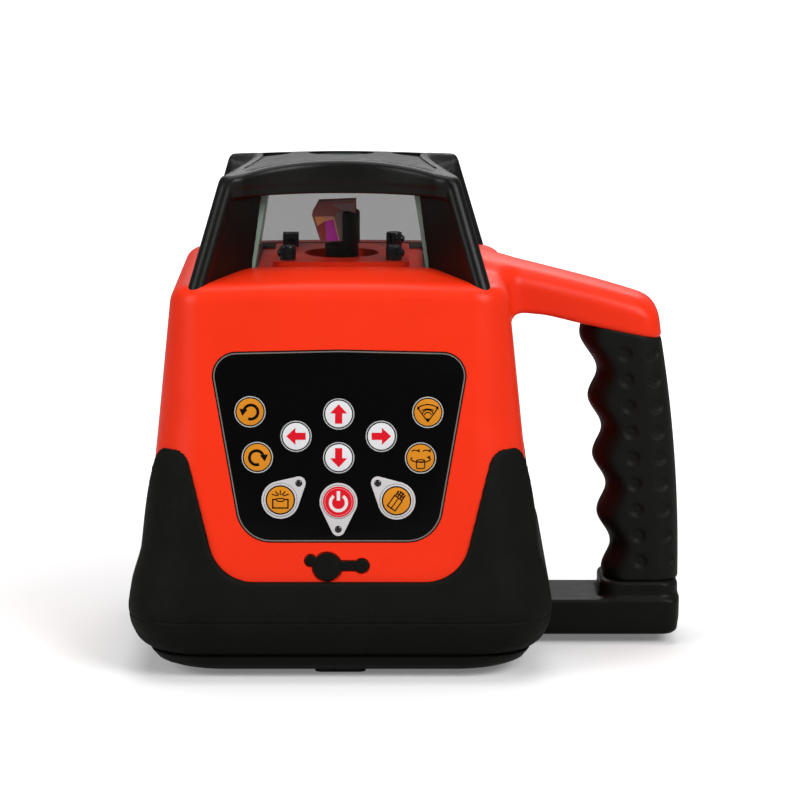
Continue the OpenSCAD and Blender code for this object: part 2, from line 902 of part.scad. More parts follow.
module battery_drawer() {
    color("#29292b") difference() {
        union() {
            difference() {
                block([-53.8, bay_front_y + 0.3, bay_low_z + 0.4], [53.8, door_low_y + 0.5, 30]);
                block([-52.2, bay_front_y + 1.8, cell_low_z - 0.1], [52.2, door_low_y, 40]);
            }
            intersection() {
                translate([0, door_high_y, 24.7]) rotate([90, 0, 0])
                    linear_extrude(door_high_y - door_low_y) rounded(54.8, 14.6, 4);
                bowl_envelope(0.6);
            }
        }
        translate([0, 0, knob_z]) y_rod(10.3, door_high_y - 3, 90);
        translate([0, 0, knob_z]) y_rod(2.5 + run_gap, 60, 90);
    }
}

module battery_knob() {
    color("#3a3a3d") translate([0, 0, knob_z]) {
        y_rod(9.8, door_high_y - 2.7, door_high_y - 0.2);
        y_rod(2.5, door_low_y + 0.3, door_high_y - 2);
        translate([-1.8, door_high_y - 1, -8]) cube([3.6, 2.4, 16]);
    }
}

module battery_cells() {
    color("#c9a227") for (y = cell_rows, s = [-1, 1]) translate([0, y, cell_low_z + cell_d / 2]) {
        x_rod(cell_d / 2, min(s, s * (cell_l - 0.5)), max(s, s * (cell_l - 0.5)));
        x_rod(3, min(s, s * (cell_l + 1)), max(s, s * (cell_l + 1)));
    }
}

module battery_contacts() {
    color("#c8c9cb") for (y = cell_rows, s = [-1, 1])
        translate([s * 51.7, y, 24.5]) cube([0.8, 16, 14], center = true);
}

base_pan();
rubber_bumper();
upper_housing();
foot_arm();
handle_foot();
handle_core();
grip_sleeve();
roof_frame();
roof_cap();
roof_window();
lantern_glass();
lantern_gasket();
inner_deck();
deck_posts();
keypad_overlay();
keypad_surrounds();
keypad_board();
status_lenses();
main_board();
charge_jack();
jack_anchor();
jack_cover();
tripod_insert();
plumb_window();
feet();
case_screws();
gimbal_frame();
level_motor_x();
battery_bay();
tilt_ring();
level_motor_y();
lead_screw_x();
lead_nut_x();
lead_screw_y();
lead_nut_y();
laser_barrel();
laser_module();
spindle_bearings();
drive_motor();
motor_pulley();
drive_belt();
rotor_spindle();
driven_pulley();
rotor_head();
pentaprism();
battery_drawer();
battery_cells();
battery_contacts();
battery_knob();
key_turn_left();
key_turn_right();
key_arrow_left();
key_arrow_up();
key_arrow_down();
key_arrow_right();
key_scan();
key_speed();
key_tilt();
key_power();
key_mode();
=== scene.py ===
"""Rotating laser level: smooth shells, keypad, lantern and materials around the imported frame."""

import math

import bmesh
import bpy
import numpy as np
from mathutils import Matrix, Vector


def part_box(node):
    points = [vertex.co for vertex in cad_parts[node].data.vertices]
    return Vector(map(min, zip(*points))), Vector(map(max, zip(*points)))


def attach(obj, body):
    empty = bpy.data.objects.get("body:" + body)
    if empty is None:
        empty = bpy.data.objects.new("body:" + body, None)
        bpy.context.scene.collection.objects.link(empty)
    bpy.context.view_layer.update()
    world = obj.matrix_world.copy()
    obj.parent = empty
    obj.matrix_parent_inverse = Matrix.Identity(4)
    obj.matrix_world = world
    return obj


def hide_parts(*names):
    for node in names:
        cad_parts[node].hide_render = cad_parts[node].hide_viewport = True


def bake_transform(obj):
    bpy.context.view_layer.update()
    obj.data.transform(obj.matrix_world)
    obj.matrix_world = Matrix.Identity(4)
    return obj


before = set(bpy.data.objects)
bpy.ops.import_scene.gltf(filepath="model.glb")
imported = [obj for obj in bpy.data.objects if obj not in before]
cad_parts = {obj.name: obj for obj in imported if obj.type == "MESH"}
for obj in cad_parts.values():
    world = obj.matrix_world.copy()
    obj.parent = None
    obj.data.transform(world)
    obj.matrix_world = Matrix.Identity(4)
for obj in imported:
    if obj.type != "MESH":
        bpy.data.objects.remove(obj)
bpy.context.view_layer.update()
MM = 0.001
SHARP = math.radians(32)


# ---------- places and sizes, in millimetres, from the frame ----------

def low(node):
    return np.array(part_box(node)[0]) / MM


def high(node):
    return np.array(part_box(node)[1]) / MM


# Casing: heights, half widths at REF_Z, the front face's lean and a point on it, the foot arm's notch
HORN_Z, SILL_Z, REF_Z = 87.0, 147.0, 40.0
BODY_X, BODY_Y = 71.8, 75.0
FACE_SLOPE = 0.12
FACE_TILT = math.atan(FACE_SLOPE)
FACE_Z = 85.0
FACE_Y = -(BODY_Y - FACE_SLOPE * (FACE_Z - REF_Z))
WALL = 3.0
SEAM_Z = 22.6
SCREW_X, SCREW_Y = 61.2, 55
NOTCH = (66, -18, 0), (93, 18, 17.5)

# Grip: finger waves, then two columns of dimples
WAVE, WAVE_PITCH, WAVE_Z = 2.1, 22.2, 104
DIMPLE_ROWS, DIMPLE_PITCH, DIMPLE_Z = 9, 9.9, 32.0
DIMPLE_DX, DIMPLE_R, DIMPLE_DEEP = 5.1, 3.0, 0.95
GRIP_MID, GRIP_LEAN = 114.8, -0.082

# Lantern: glass, roof, fins (x and y of the outer edge, low and high) and deck
GLASS_LOW, GLASS_HIGH = high("lantern_glass")[0], 29.5
GLASS_LOW_Z, GLASS_HIGH_Z = low("lantern_glass")[2], high("lantern_glass")[2]
GLASS_T = 2.5
ROOF_TOP_Z, FASCIA_Z = 186.2, 177.9
ROOF_X, ROOF_Y = 43.5, 48.5
SCOOP_X, SCOOP_Y = 10.0, 15.0
CROWN_R, CROWN_Y = 330.0, 18.0
ARCH, ARCH_FADE = 0.0012, 0.0000217
FIN_LOW, FIN_HIGH = (52.0, 57.5), (41.5, 46.5)
DECK_Z, POST_AT = 147.6, 19.7
RECESS_X, RECESS_Y = 30, 3

# Keys, jack cover (LOBE and ANCHOR are measured from JACK_AT) and the drawer's knob
KEY_R, KEY_HIGH, KEY_GAP, LED_R = 5.8, 0.7, 0.35, 1.3
JACK_AT, LOBE, ANCHOR = (-4.4, 42.9), (-6.0, 2.3), (12.5, 0.4)
FLAP_R = 5.2
STRAP_HALF, STRAP_BEND = 1.7, (8.0, 10.6)
KNOB_Z = 24.5


# ---------- arithmetic on fields: arrays that are negative inside a solid ----------

def ramp(t, soft):
    """t where it is positive and 0 elsewhere, with the corner rounded over soft."""
    return (t + np.sqrt(t * t + soft * soft)) / 2


def line(t, knots, soft=1.0):
    """A polyline through (t, value) knots with its corners rounded over soft."""
    slopes = [(b[1] - a[1]) / (b[0] - a[0]) for a, b in zip(knots, knots[1:])]
    value = knots[0][1] + slopes[0] * (t - knots[0][0])
    for knot, before, after in zip(knots[1:], slopes, slopes[1:]):
        value = value + (after - before) * ramp(t - knot[0], soft)
    return value


def join(a, b, k):
    """Union of a and b with the crease rounded over k."""
    h = np.maximum(k - np.abs(a - b), 0) / k
    return np.minimum(a, b) - h * h * k / 4


def cut(a, b, k):
    """Intersection of a and b with an edge rounded over k."""
    h = np.maximum(k - np.abs(a - b), 0) / k
    return np.maximum(a, b) + h * h * k / 4


def box2(x, y, half_x, half_y, r):
    qx, qy = np.abs(x) - (half_x - r), np.abs(y) - (half_y - r)
    outside = np.hypot(np.maximum(qx, 0), np.maximum(qy, 0))
    return outside + np.minimum(np.maximum(qx, qy), 0) - r


def disc(x, y, cx, cy, r):
    return np.hypot(x - cx, y - cy) - r


# ---------- meshes ----------

def steps(start, stop, step):
    return np.linspace(start, stop, max(int(round((stop - start) / step)), 2) + 1)


def surface(field, xs, ys, zs, polish=3):
    """Vertices and quads of a field's zero surface on a grid, by surface nets."""
    f = np.asarray(field(xs[:, None, None], ys[None, :, None], zs[None, None, :]), np.float32)
    f = np.broadcast_to(f, (len(xs), len(ys), len(zs)))
    inside = f < 0
    shape = tuple(n - 1 for n in f.shape)
    corner = [(i, j, k) for i in (0, 1) for j in (0, 1) for k in (0, 1)]
    count = np.zeros(shape, np.int8)
    for i, j, k in corner:
        count += inside[i:i + shape[0], j:j + shape[1], k:k + shape[2]]
    cells = np.argwhere((count > 0) & (count < 8))
    grid = (xs, ys, zs)
    total, hits = np.zeros((len(cells), 3)), np.zeros(len(cells))
    for i, j, k in corner:
        for axis in range(3):
            if (i, j, k)[axis]:
                continue
            a = cells + (i, j, k)
            b = a.copy()
            b[:, axis] += 1
            fa, fb = f[tuple(a.T)], f[tuple(b.T)]
            crosses = (fa < 0) != (fb < 0)
            t = np.where(crosses, fa / np.where(fa == fb, 1, fa - fb), 0)
            p = np.stack([grid[n][a[:, n]] for n in range(3)], 1)
            p[:, axis] += t * (grid[axis][b[:, axis]] - grid[axis][a[:, axis]])
            total += np.where(crosses[:, None], p, 0)
            hits += crosses
    points = total / hits[:, None]
    cell = min(float(np.diff(g).min()) for g in grid)
    for _ in range(polish):
        points = settle(field, points, cell)
    index = np.full(shape, -1, np.int64)
    index[tuple(cells.T)] = np.arange(len(cells))
    quads = []
    for axis in range(3):
        u, v = [n for n in range(3) if n != axis]
        span = [slice(None)] * 3
        span[axis] = slice(0, -1)
        ahead = list(span)
        ahead[axis] = slice(1, None)
        first, second = inside[tuple(span)], inside[tuple(ahead)]
        edges = np.argwhere(first != second)
        edges = edges[(edges[:, u] > 0) & (edges[:, v] > 0)]
        edges = edges[(edges[:, u] < shape[u]) & (edges[:, v] < shape[v])]
        ring = []
        for du, dv in ((-1, -1), (0, -1), (0, 0), (-1, 0)):
            c = edges.copy()
            c[:, u] += du
            c[:, v] += dv
            ring.append(index[tuple(c.T)])
        quad = np.stack(ring, 1)
        turn = first[tuple(edges.T)] ^ (axis == 1)
        quad[~turn] = quad[~turn][:, ::-1]
        quads.append(quad)
    return points, np.concatenate(quads)


def settle(field, p, cell):
    """One Newton step towards the zero surface, at most half a cell long."""
    e = 0.04
    value = field(p[:, 0], p[:, 1], p[:, 2])
    slope = np.stack([(field(*(p + d).T) - field(*(p - d).T)) / (2 * e) for d in np.eye(3) * e], 1)
    move = slope * (value / np.maximum((slope ** 2).sum(1), 1e-3))[:, None]
    length = np.linalg.norm(move, axis=1, keepdims=True)
    return p - move * np.minimum(1, 0.5 * cell / np.maximum(length, 1e-9))


def new_object(name, points, faces, smooth=True):
    """An object from points in millimetres and faces."""
    mesh = bpy.data.meshes.new(name)
    if isinstance(faces, np.ndarray):
        mesh.vertices.add(len(points))
        mesh.vertices.foreach_set("co", (np.asarray(points) * MM).astype(np.float32).ravel())
        mesh.loops.add(faces.size)
        mesh.loops.foreach_set("vertex_index", faces.astype(np.int32).ravel())
        mesh.polygons.add(len(faces))
        width = faces.shape[1]
        mesh.polygons.foreach_set("loop_start", np.arange(0, faces.size, width, dtype=np.int32))
        mesh.update(calc_edges=True)
        mesh.validate()
    else:
        mesh.from_pydata([tuple(c * MM for c in p) for p in points], [], faces)
        mesh.update()
    if smooth:
        mesh.shade_smooth()
    piece = bpy.data.objects.new(name, mesh)
    bpy.context.scene.collection.objects.link(piece)
    return piece


def crease(piece):
    """Marks the edges that stay crisp under smooth shading."""
    piece.data.set_sharp_from_angle(angle=SHARP)
    return piece


def carve(name, field, box_low, box_high, step, keep=1.0, fine=(), place=None):
    """A piece from a field, meshed at step within a box.

    keep is the share of faces left, fine lists (axis, start, stop, step) for closer layers, and place
    puts a field with its own frame where it belongs.
    """
    axes = [steps(box_low[n] - 1.5 * step, box_high[n] + 1.5 * step, step) for n in range(3)]
    for axis, start, stop, small in fine:
        old = axes[axis]
        axes[axis] = np.unique(np.concatenate([old[(old < start) | (old > stop)], steps(start, stop, small)]))
    points, faces = surface(field, *axes)
    piece = new_object(name, [place(*p) for p in points] if place else points, faces)
    if keep < 1:
        piece.modifiers.new("thin", "DECIMATE").ratio = keep
        apply_modifiers(piece)
    return crease(piece)


def apply_modifiers(piece):
    graph = bpy.context.evaluated_depsgraph_get()
    mesh = bpy.data.meshes.new_from_object(piece.evaluated_get(graph))
    old = piece.data
    piece.modifiers.clear()
    piece.data = mesh
    bpy.data.meshes.remove(old)


def drill(piece, *cutters):
    """Cuts crisp openings into a piece."""
    for cutter in cutters:
        opening = piece.modifiers.new("cut", "BOOLEAN")
        opening.operation = "DIFFERENCE"
        opening.solver = "EXACT"
        opening.object = cutter
        apply_modifiers(piece)
        bpy.data.objects.remove(cutter)
    return crease(piece)


def prism(name, outline, bottom, top, place=None, bevel=0.0, segments=3, top_only=True):
    """A prism over an outline, its top or both edges bevelled; place maps (u, v, w) to the frame."""
    n = len(outline)
    levels = [(bottom, 0.0)]
    if bevel and not top_only:
        levels = [(bottom + bevel * (1 - math.cos(a)), bevel * (1 - math.sin(a)))
                  for a in np.linspace(0, math.pi / 2, segments + 1)]
    if bevel:
        levels += [(top - bevel + bevel * math.sin(a), bevel * (1 - math.cos(a)))
                   for a in np.linspace(0, math.pi / 2, segments + 1)]
    else:
        levels.append((top, 0.0))
    points, faces = [], []
    for w, inset in levels:
        points += [(u, v, w) for u, v in shrink(outline, inset)]
    for level in range(len(levels) - 1):
        a, b = level * n, (level + 1) * n
        faces += [(a + i, a + (i + 1) % n, b + (i + 1) % n, b + i) for i in range(n)]
    faces.append(tuple(range(n))[::-1])
    faces.append(tuple(range((len(levels) - 1) * n, len(levels) * n)))
    if place:
        points = [place(*p) for p in points]
    return crease(new_object(name, points, faces))


def hole(outline, bottom, top, place=None):
    """A cutter over an outline."""
    return prism("hole", outline, bottom, top, place)


def shrink(outline, inset):
    """The outline moved inwards by inset, along its corner normals."""
    if not inset:
        return [tuple(p) for p in outline]
    p = np.array(outline, float)
    before, after = p - np.roll(p, 1, 0), np.roll(p, -1, 0) - p
    a = before / np.linalg.norm(before, axis=1, keepdims=True)
    b = after / np.linalg.norm(after, axis=1, keepdims=True)
    normal = np.stack([-(a + b)[:, 1], (a + b)[:, 0]], 1)
    size = np.linalg.norm(normal, axis=1, keepdims=True)
    normal /= np.maximum(size, 1e-6)
    cosine = np.maximum((normal * np.stack([-a[:, 1], a[:, 0]], 1)).sum(1, keepdims=True), 0.5)
    return [tuple(q) for q in p + normal * inset / cosine]


def ring(r, n=64, cx=0.0, cy=0.0):
    return [(cx + r * math.cos(2 * math.pi * i / n), cy + r * math.sin(2 * math.pi * i / n))
            for i in range(n)]


def oval(cx, cy, rx, ry, start, stop, n=24):
    """Points on an elliptic arc, its angles in degrees."""
    return [(cx + rx * math.cos(math.radians(a)), cy + ry * math.sin(math.radians(a)))
            for a in np.linspace(start, stop, n + 1)]


def arc(cx, cy, r, start, stop, n):
    return oval(cx, cy, r, r, start, stop, n)


def lathe(name, profile, place, n=64):
    """A turned solid from (radius, height) points, first and last on the axis or closed on itself."""
    points, faces, rows = [], [], []
    for r, w in profile:
        if r < 1e-6:
            rows.append([len(points)])
            points.append((0.0, 0.0, w))
        else:
            rows.append(list(range(len(points), len(points) + n)))
            points += [(u, v, w) for u, v in ring(r, n)]
    pairs = list(zip(rows, rows[1:]))
    if len(rows[0]) > 1:
        pairs.append((rows[-1], rows[0]))
    for a, b in pairs:
        for i in range(n):
            j = (i + 1) % n
            if len(a) == 1:
                faces.append((a[0], b[j], b[i]))
            elif len(b) == 1:
                faces.append((a[i], a[j], b[0]))
            else:
                faces.append((a[i], a[j], b[j], b[i]))
    piece = new_object(name, [place(*p) for p in points], faces)
    mesh = bmesh.new()
    mesh.from_mesh(piece.data)
    bmesh.ops.recalc_face_normals(mesh, faces=mesh.faces)
    mesh.to_mesh(piece.data)
    mesh.free()
    piece.data.shade_smooth()
    return crease(piece)


def at(cx, cy):
    """Places (u, v, w) upright at a point."""
    return lambda u, v, w: (cx + u, cy + v, w)


def on_face(x, z):
    """Places (u, v, w) on the leaning front face at x and height z, with w outwards."""
    c, s = math.cos(FACE_TILT), math.sin(FACE_TILT)

    def place(u, v, w):
        rise = (z - FACE_Z) / c + v
        return (x + u, FACE_Y + rise * s - w * c, FACE_Z + rise * c + w * s)
    return place


def facing(axis, origin):
    """Places (u, v, w) with w along +Y or +X from an origin."""
    if axis == "y":
        return lambda u, v, w: (origin[0] - u, origin[1] + w, origin[2] + v)
    return lambda u, v, w: (origin[0] + w, origin[1] + u, origin[2] + v)


def block(name, lo, hi):
    """A box-shaped cutter."""
    points = [(x, y, z) for x in (lo[0], hi[0]) for y in (lo[1], hi[1]) for z in (lo[2], hi[2])]
    faces = [(0, 1, 3, 2), (4, 6, 7, 5), (0, 4, 5, 1), (2, 3, 7, 6), (0, 2, 6, 4), (1, 5, 7, 3)]
    return new_object(name, points, faces, smooth=False)


def painted(piece, paint):
    piece.data.materials.clear()
    piece.data.materials.append(paint)
    return piece


def finish_piece(piece, body, *nodes, paint=None, slot=None):
    """Gives a piece its material and body and hides the CAD nodes it stands for."""
    if paint:
        painted(piece, paint)
    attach(piece, body)
    if nodes:
        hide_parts(*nodes)


# ---------- materials ----------

def node(tree, kind, **settings):
    made = tree.nodes.new(kind)
    for name, value in settings.items():
        if name in made.inputs:
            made.inputs[name].default_value = value
        else:
            setattr(made, name, value)
    return made


def noise(tree, where, scale, detail=2.0):
    made = node(tree, "ShaderNodeTexNoise", Scale=scale, Detail=detail)
    tree.links.new(where, made.inputs["Vector"])
    return made.outputs["Fac"]


def spread(tree, fac, low_value, high_value, low_at=0.3, high_at=0.7):
    made = node(tree, "ShaderNodeMapRange")
    for socket, value in (("From Min", low_at), ("From Max", high_at),
                          ("To Min", low_value), ("To Max", high_value)):
        made.inputs[socket].default_value = value
    tree.links.new(fac, made.inputs["Value"])
    return made.outputs["Result"]


def mixed(tree, factor, first, second):
    """A colour that goes from the first, a colour or a socket, to the second one."""
    made = node(tree, "ShaderNodeMix", data_type="RGBA")
    if isinstance(first, bpy.types.NodeSocket):
        tree.links.new(first, made.inputs["A"])
    else:
        made.inputs["A"].default_value = (*first, 1)
    made.inputs["B"].default_value = (*second, 1)
    tree.links.new(factor, made.inputs["Factor"])
    return made.outputs["Result"]


def material(name, color, rough, spec=0.5, grain=2500, bump=0.05, vary=0.06, metallic=0.0, cloud=60,
             stretch=(1, 1, 1), wear=0.0):
    """A surface with fine grain in its bump and slow variation in its colour and roughness."""
    made = bpy.data.materials.new(name)
    made.use_nodes = True
    tree = made.node_tree
    shader = tree.nodes["Principled BSDF"]
    shader.inputs["Specular IOR Level"].default_value = spec
    shader.inputs["Metallic"].default_value = metallic
    place = node(tree, "ShaderNodeTexCoord").outputs["Object"]
    scaled = node(tree, "ShaderNodeMapping")
    scaled.inputs["Scale"].default_value = stretch
    tree.links.new(place, scaled.inputs["Vector"])
    where = scaled.outputs["Vector"]
    shade = mixed(tree, spread(tree, noise(tree, where, cloud, 3), 0, 1),
                  [c * (1 - vary) for c in color], [min(c * (1 + vary), 1) for c in color])
    roughness = spread(tree, noise(tree, where, cloud * 5, 3), rough * 0.9, min(rough * 1.1, 1))
    if wear:
        marks = spread(tree, noise(tree, where, cloud * 9, 6), 0, wear, 0.62, 0.75)
        shade = mixed(tree, marks, shade, [min(c * 1.6 + 0.02, 1) for c in color])
    tree.links.new(shade, shader.inputs["Base Color"])
    tree.links.new(roughness, shader.inputs["Roughness"])
    fine = node(tree, "ShaderNodeBump", Strength=bump, Distance=0.0002)
    tree.links.new(noise(tree, where, grain, 2), fine.inputs["Height"])
    tree.links.new(fine.outputs["Normal"], shader.inputs["Normal"])
    return made


def glass(name, dark, pale, rough, facing, grazing):
    """Tinted glass, dark and clear where it faces the eye, pale and closed at a grazing angle, the pale a
    painted reflection.
    """
    made = material(name, dark, rough, spec=0.25, bump=0.0, vary=0.02)
    tree = made.node_tree
    shader = tree.nodes["Principled BSDF"]
    shader.inputs["IOR"].default_value = 1.5
    angle = node(tree, "ShaderNodeLayerWeight", Blend=0.35).outputs["Facing"]
    tree.links.new(spread(tree, angle, facing, grazing, 0.3, 1.0), shader.inputs["Alpha"])
    # Painted reflection: the base colour turns pale green where the pane is seen edge-on.
    tree.links.new(mixed(tree, spread(tree, angle, 0, 1, 0.55, 0.9), dark, pale), shader.inputs["Base Color"])
    return made


def metal(name, color, rough, **more):
    return material(name, color, rough, metallic=1.0, **more)


def print_ink(name, color, spec):
    """The light inks printed around the keys."""
    return material(name, color, 0.34, spec=spec, grain=2000, bump=0.02, vary=0.03)


def prism_surface(name, color, rough=0.1, vary=0.15):
    """The prism's coated body, or one of the painted reflections on its flat faces."""
    return material("prism_" + name, color, rough, bump=0.0, vary=vary)


ORANGE = material("orange_shell", (0.80, 0.028, 0.005), 0.36, spec=0.15, grain=5200, vary=0.03, cloud=25)
RUBBER = material("bumper_rubber", (0.0044, 0.0050, 0.0038), 0.62, spec=0.07, grain=3200, bump=0.12,
                  vary=0.12, wear=0.12)
PAN = material("black_pan", (0.0044, 0.0050, 0.0038), 0.5, spec=0.08, grain=2600, bump=0.1, vary=0.1)
ARM = material("black_arm", (0.0042, 0.0048, 0.0037), 0.42, spec=0.1, grain=3600, bump=0.06, vary=0.08)
GRIP = material("grip_rubber", (0.0060, 0.0066, 0.0052), 0.5, spec=0.09, grain=3400, bump=0.14, vary=0.1,
                wear=0.08)
ROOF = material("roof_black", (0.0030, 0.0032, 0.0026), 0.36, spec=0.18, grain=2400, bump=0.1, vary=0.08)
CAP = material("cap_black", (0.0048, 0.0048, 0.0050), 0.42, spec=0.15, grain=4200, bump=0.07, vary=0.08)
# PANE_SHEEN is the pale green of the panes' painted reflection at a grazing angle.
PANE_DARK, PANE_SHEEN = (0.008, 0.011, 0.009), (0.30, 0.42, 0.35)
GLASS = glass("clear_glass", PANE_DARK, PANE_SHEEN, 0.03, 0.09, 0.8)
REAR_GLASS = glass("rear_glass", PANE_DARK, PANE_SHEEN, 0.03, 0.50, 0.88)
GLASS_EDGE = material("glass_edge", (0.30, 0.43, 0.35), 0.12, bump=0.0, vary=0.1)
# The windows take the same painted reflection, in a dimmer grey-green.
WINDOW = glass("window_glass", (0.01, 0.012, 0.012), (0.1, 0.14, 0.12), 0.04, 0.5, 0.9)
GASKET = material("gasket_rubber", (0.03, 0.03, 0.03), 0.7, bump=0.1)
POST = material("post_black", (0.004, 0.004, 0.0045), 0.12, bump=0.01)
OVERLAY = material("overlay_black", (0.0012, 0.0012, 0.0012), 0.25, spec=0.07, grain=1800, bump=0.012,
                   vary=0.05)
WHITE = print_ink("white_print", (0.66, 0.66, 0.68), 0.25)
DROP = print_ink("drop_print", (0.52, 0.50, 0.51), 0.25)
RIM = print_ink("rim_print", (0.42, 0.42, 0.43), 0.2)
BORDER = material("border_print", (0.16, 0.14, 0.13), 0.35, spec=0.2, grain=2000, bump=0.02)
AMBER = material("amber_key", (0.60, 0.215, 0.010), 0.36, spec=0.2, grain=2400, bump=0.03, vary=0.04)
INK = material("key_ink", (0.0025, 0.002, 0.002), 0.34, spec=0.08, grain=2400, bump=0.02)
RED = material("red_key", (0.62, 0.006, 0.016), 0.34, spec=0.15, grain=2400, bump=0.03, vary=0.04)
PALE = material("pale_line", (0.75, 0.30, 0.31), 0.36, grain=2400, bump=0.03)
LENS = material("status_lens", (0.006, 0.006, 0.006), 0.12, bump=0.01)
BOARD = material("board_green", (0.02, 0.13, 0.06), 0.45, grain=900, bump=0.1)
JACK = material("jack_black", (0.02, 0.02, 0.02), 0.4)
BRASS = metal("brass_insert", (0.62, 0.43, 0.16), 0.3, stretch=(1, 1, 9))
FEET = material("foot_rubber", (0.02, 0.02, 0.02), 0.75, bump=0.2)
STEEL = metal("screw_steel", (0.60, 0.60, 0.62), 0.28)
CAST = metal("cast_alloy", (0.56, 0.57, 0.58), 0.45, grain=900, bump=0.2)
CAN = metal("motor_steel", (0.45, 0.46, 0.47), 0.3, stretch=(1, 1, 0.05))
BAY = material("bay_plastic", (0.022, 0.022, 0.024), 0.5, bump=0.08)
SHAFT = metal("shaft_steel", (0.64, 0.64, 0.66), 0.16, stretch=(1, 1, 12))
ACETAL = material("nut_plastic", (0.72, 0.68, 0.58), 0.42, bump=0.04)
BARREL = metal("barrel_alloy", (0.48, 0.49, 0.5), 0.34, stretch=(1, 1, 14), grain=1500)
MODULE = metal("module_brass", (0.45, 0.33, 0.13), 0.32, stretch=(1, 1, 14))
BEARING = metal("bearing_steel", (0.66, 0.67, 0.68), 0.18)
BELT = material("belt_rubber", (0.014, 0.014, 0.014), 0.7, bump=0.2)
ROTOR = material("rotor_black", (0.003, 0.003, 0.003), 0.3, spec=0.2, grain=1500, bump=0.04,
                 stretch=(1, 1, 10))
PRISM = prism_surface("coated", (0.26, 0.055, 0.045), 0.08, 0.2)
# Colours of the painted reflections on the prism's flat faces.
REFLECTION_GREY = prism_surface("grey", (0.22, 0.16, 0.15))
REFLECTION_DEEP_RED = prism_surface("deep_red", (0.36, 0.016, 0.016))
REFLECTION_SALMON = prism_surface("salmon", (0.78, 0.36, 0.26), vary=0.1)
REFLECTION_AMBER = prism_surface("amber", (0.86, 0.36, 0.10))
REFLECTION_VIOLET = prism_surface("violet", (0.64, 0.003, 0.50), 0.08, 0.2)
DRAWER = material("drawer_plastic", (0.0055, 0.0055, 0.0055), 0.5, spec=0.08, grain=2800, bump=0.1,
                  wear=0.08)
JACKET = material("cell_jacket", (0.50, 0.36, 0.05), 0.3, bump=0.02)
NICKEL = metal("contact_nickel", (0.68, 0.67, 0.63), 0.25)
CORE = metal("core_tube", (0.55, 0.56, 0.57), 0.35, stretch=(8, 8, 1))


# ---------- casing ----------

def housing_side(x, y, z):
    half_x = line(z, [(9, 67), (22, BODY_X + 0.8), (REF_Z, BODY_X), (140, BODY_X - 10.3)], 3)
    half_y = line(z, [(9, 68.5), (22, BODY_Y + 0.8), (REF_Z, BODY_Y), (140, BODY_Y - 12)], 3)
    corner = line(z, [(9, 21), (95, 19), (140, 13)], 2)
    return box2(x, y, half_x, half_y, corner) * math.cos(FACE_TILT)


def housing(x, y, z, edge=5.4):
    shoulder = ramp(-join(36.0 - np.abs(x), 42.0 - np.abs(y), 9), 2)
    top = z - (SILL_Z - 0.0003 * x * x - 0.15 * shoulder)
    return cut(housing_side(x, y, z), top * 0.96, edge)


def top_arm(x, y, z):
    top = line(x, [(54, 148), (72.9, 143.4), (96.3, 137.4), (112.3, 132.6), (121, 129.5)], 4)
    low_edge = line(x, [(64.9, 127.1), (76.5, 126.2), (87.8, 123.2), (111.8, 117.7), (119.5, 116.4)], 3)
    half_y = line(x, [(54, 18), (90, 16.5), (112, 16), (119.6, 15)], 6)
    side = cut(np.abs(y) - half_y, x - 120.8 + 0.13 * (z - 115) + 0.003 * y * y, 7)
    upper = cut(side, (z - top + 0.008 * y * y) * 0.965, 6.5)
    return cut(cut(upper, (low_edge - z) * 0.97, 2.4), 40 - x, 1)


def upper_housing():
    outside = carve("housing", lambda x, y, z: cut(join(housing(x, y, z), top_arm(x, y, z), 6), 9 - z, 1.5),
                    (-74, -77, 9), (122, 77, 150), 1.15)
    cavity = carve("cavity", lambda x, y, z: cut(housing(x, y, z, 3) + WALL, 7 - z, 0.5),
                   (-70, -73, 7), (70, 73, 147), 2.6)
    jack = on_face(*JACK_AT)
    cover_seat = [ring(FLAP_R + 0.45, 64), ring(2.5, 40, *LOBE), ring(2.95, 40, *ANCHOR),
                  rounded_outline(5, STRAP_HALF + 0.4, 0.4, cx=7, cy=ANCHOR[1])]
    cutters = [cavity,
               hole(rounded_outline(34.5, 34.5, 2), 140, 170),
               hole(keypad_outline(0), -0.8, 6, on_face(0, FACE_Z)),
               hole(rounded_outline(39.3, 19, 8), -5, 1, on_face(0, 93)),
               hole(rounded_outline(30, 15, 8), -5, 1, on_face(0, 69.5)),
               *[hole(outline, -1.2, 4, jack) for outline in cover_seat],
               hole(ring(3.8, 40), -9, 2, jack),
               hole(rounded_outline(55.5, 15.5, 3, cy=24.5), 0, 30, facing("y", (0, 60, 0))),
               block("notch", *NOTCH)]
    finish_piece(drill(outside, *cutters), "chassis", "upper_housing", paint=ORANGE)


def window_field(u, z, shift):
    """Signed distance to the opening between two horns, in one face's own plane."""
    u = np.abs(u)
    points = [(0.0, 37.5)] + arc(31.2 + shift, 53.5, 16, -90, -14, 10)
    points += arc(61.1 + shift, HORN_Z - 8.8, 7, 166, 90, 8) + [(110, HORN_Z + 2.5), (110, 140), (0, 140)]
    best, inside = np.inf, False
    for i, (ax, az) in enumerate(points):
        bx, bz = points[(i + 1) % len(points)]
        ex, ez = bx - ax, bz - az
        t = np.clip(((u - ax) * ex + (z - az) * ez) / (ex * ex + ez * ez), 0, 1)
        d = (u - ax - t * ex) ** 2 + (z - az - t * ez) ** 2
        if i == len(points) - 1:
            d = d + 1e6
        best = np.minimum(best, d)
        crosses = ((az > z) != (bz > z)) & (u < ex * (z - az) / (ez if ez else 1e-9) + ax)
        inside = inside ^ crosses
    return np.where(inside, -1, 1) * np.sqrt(best)


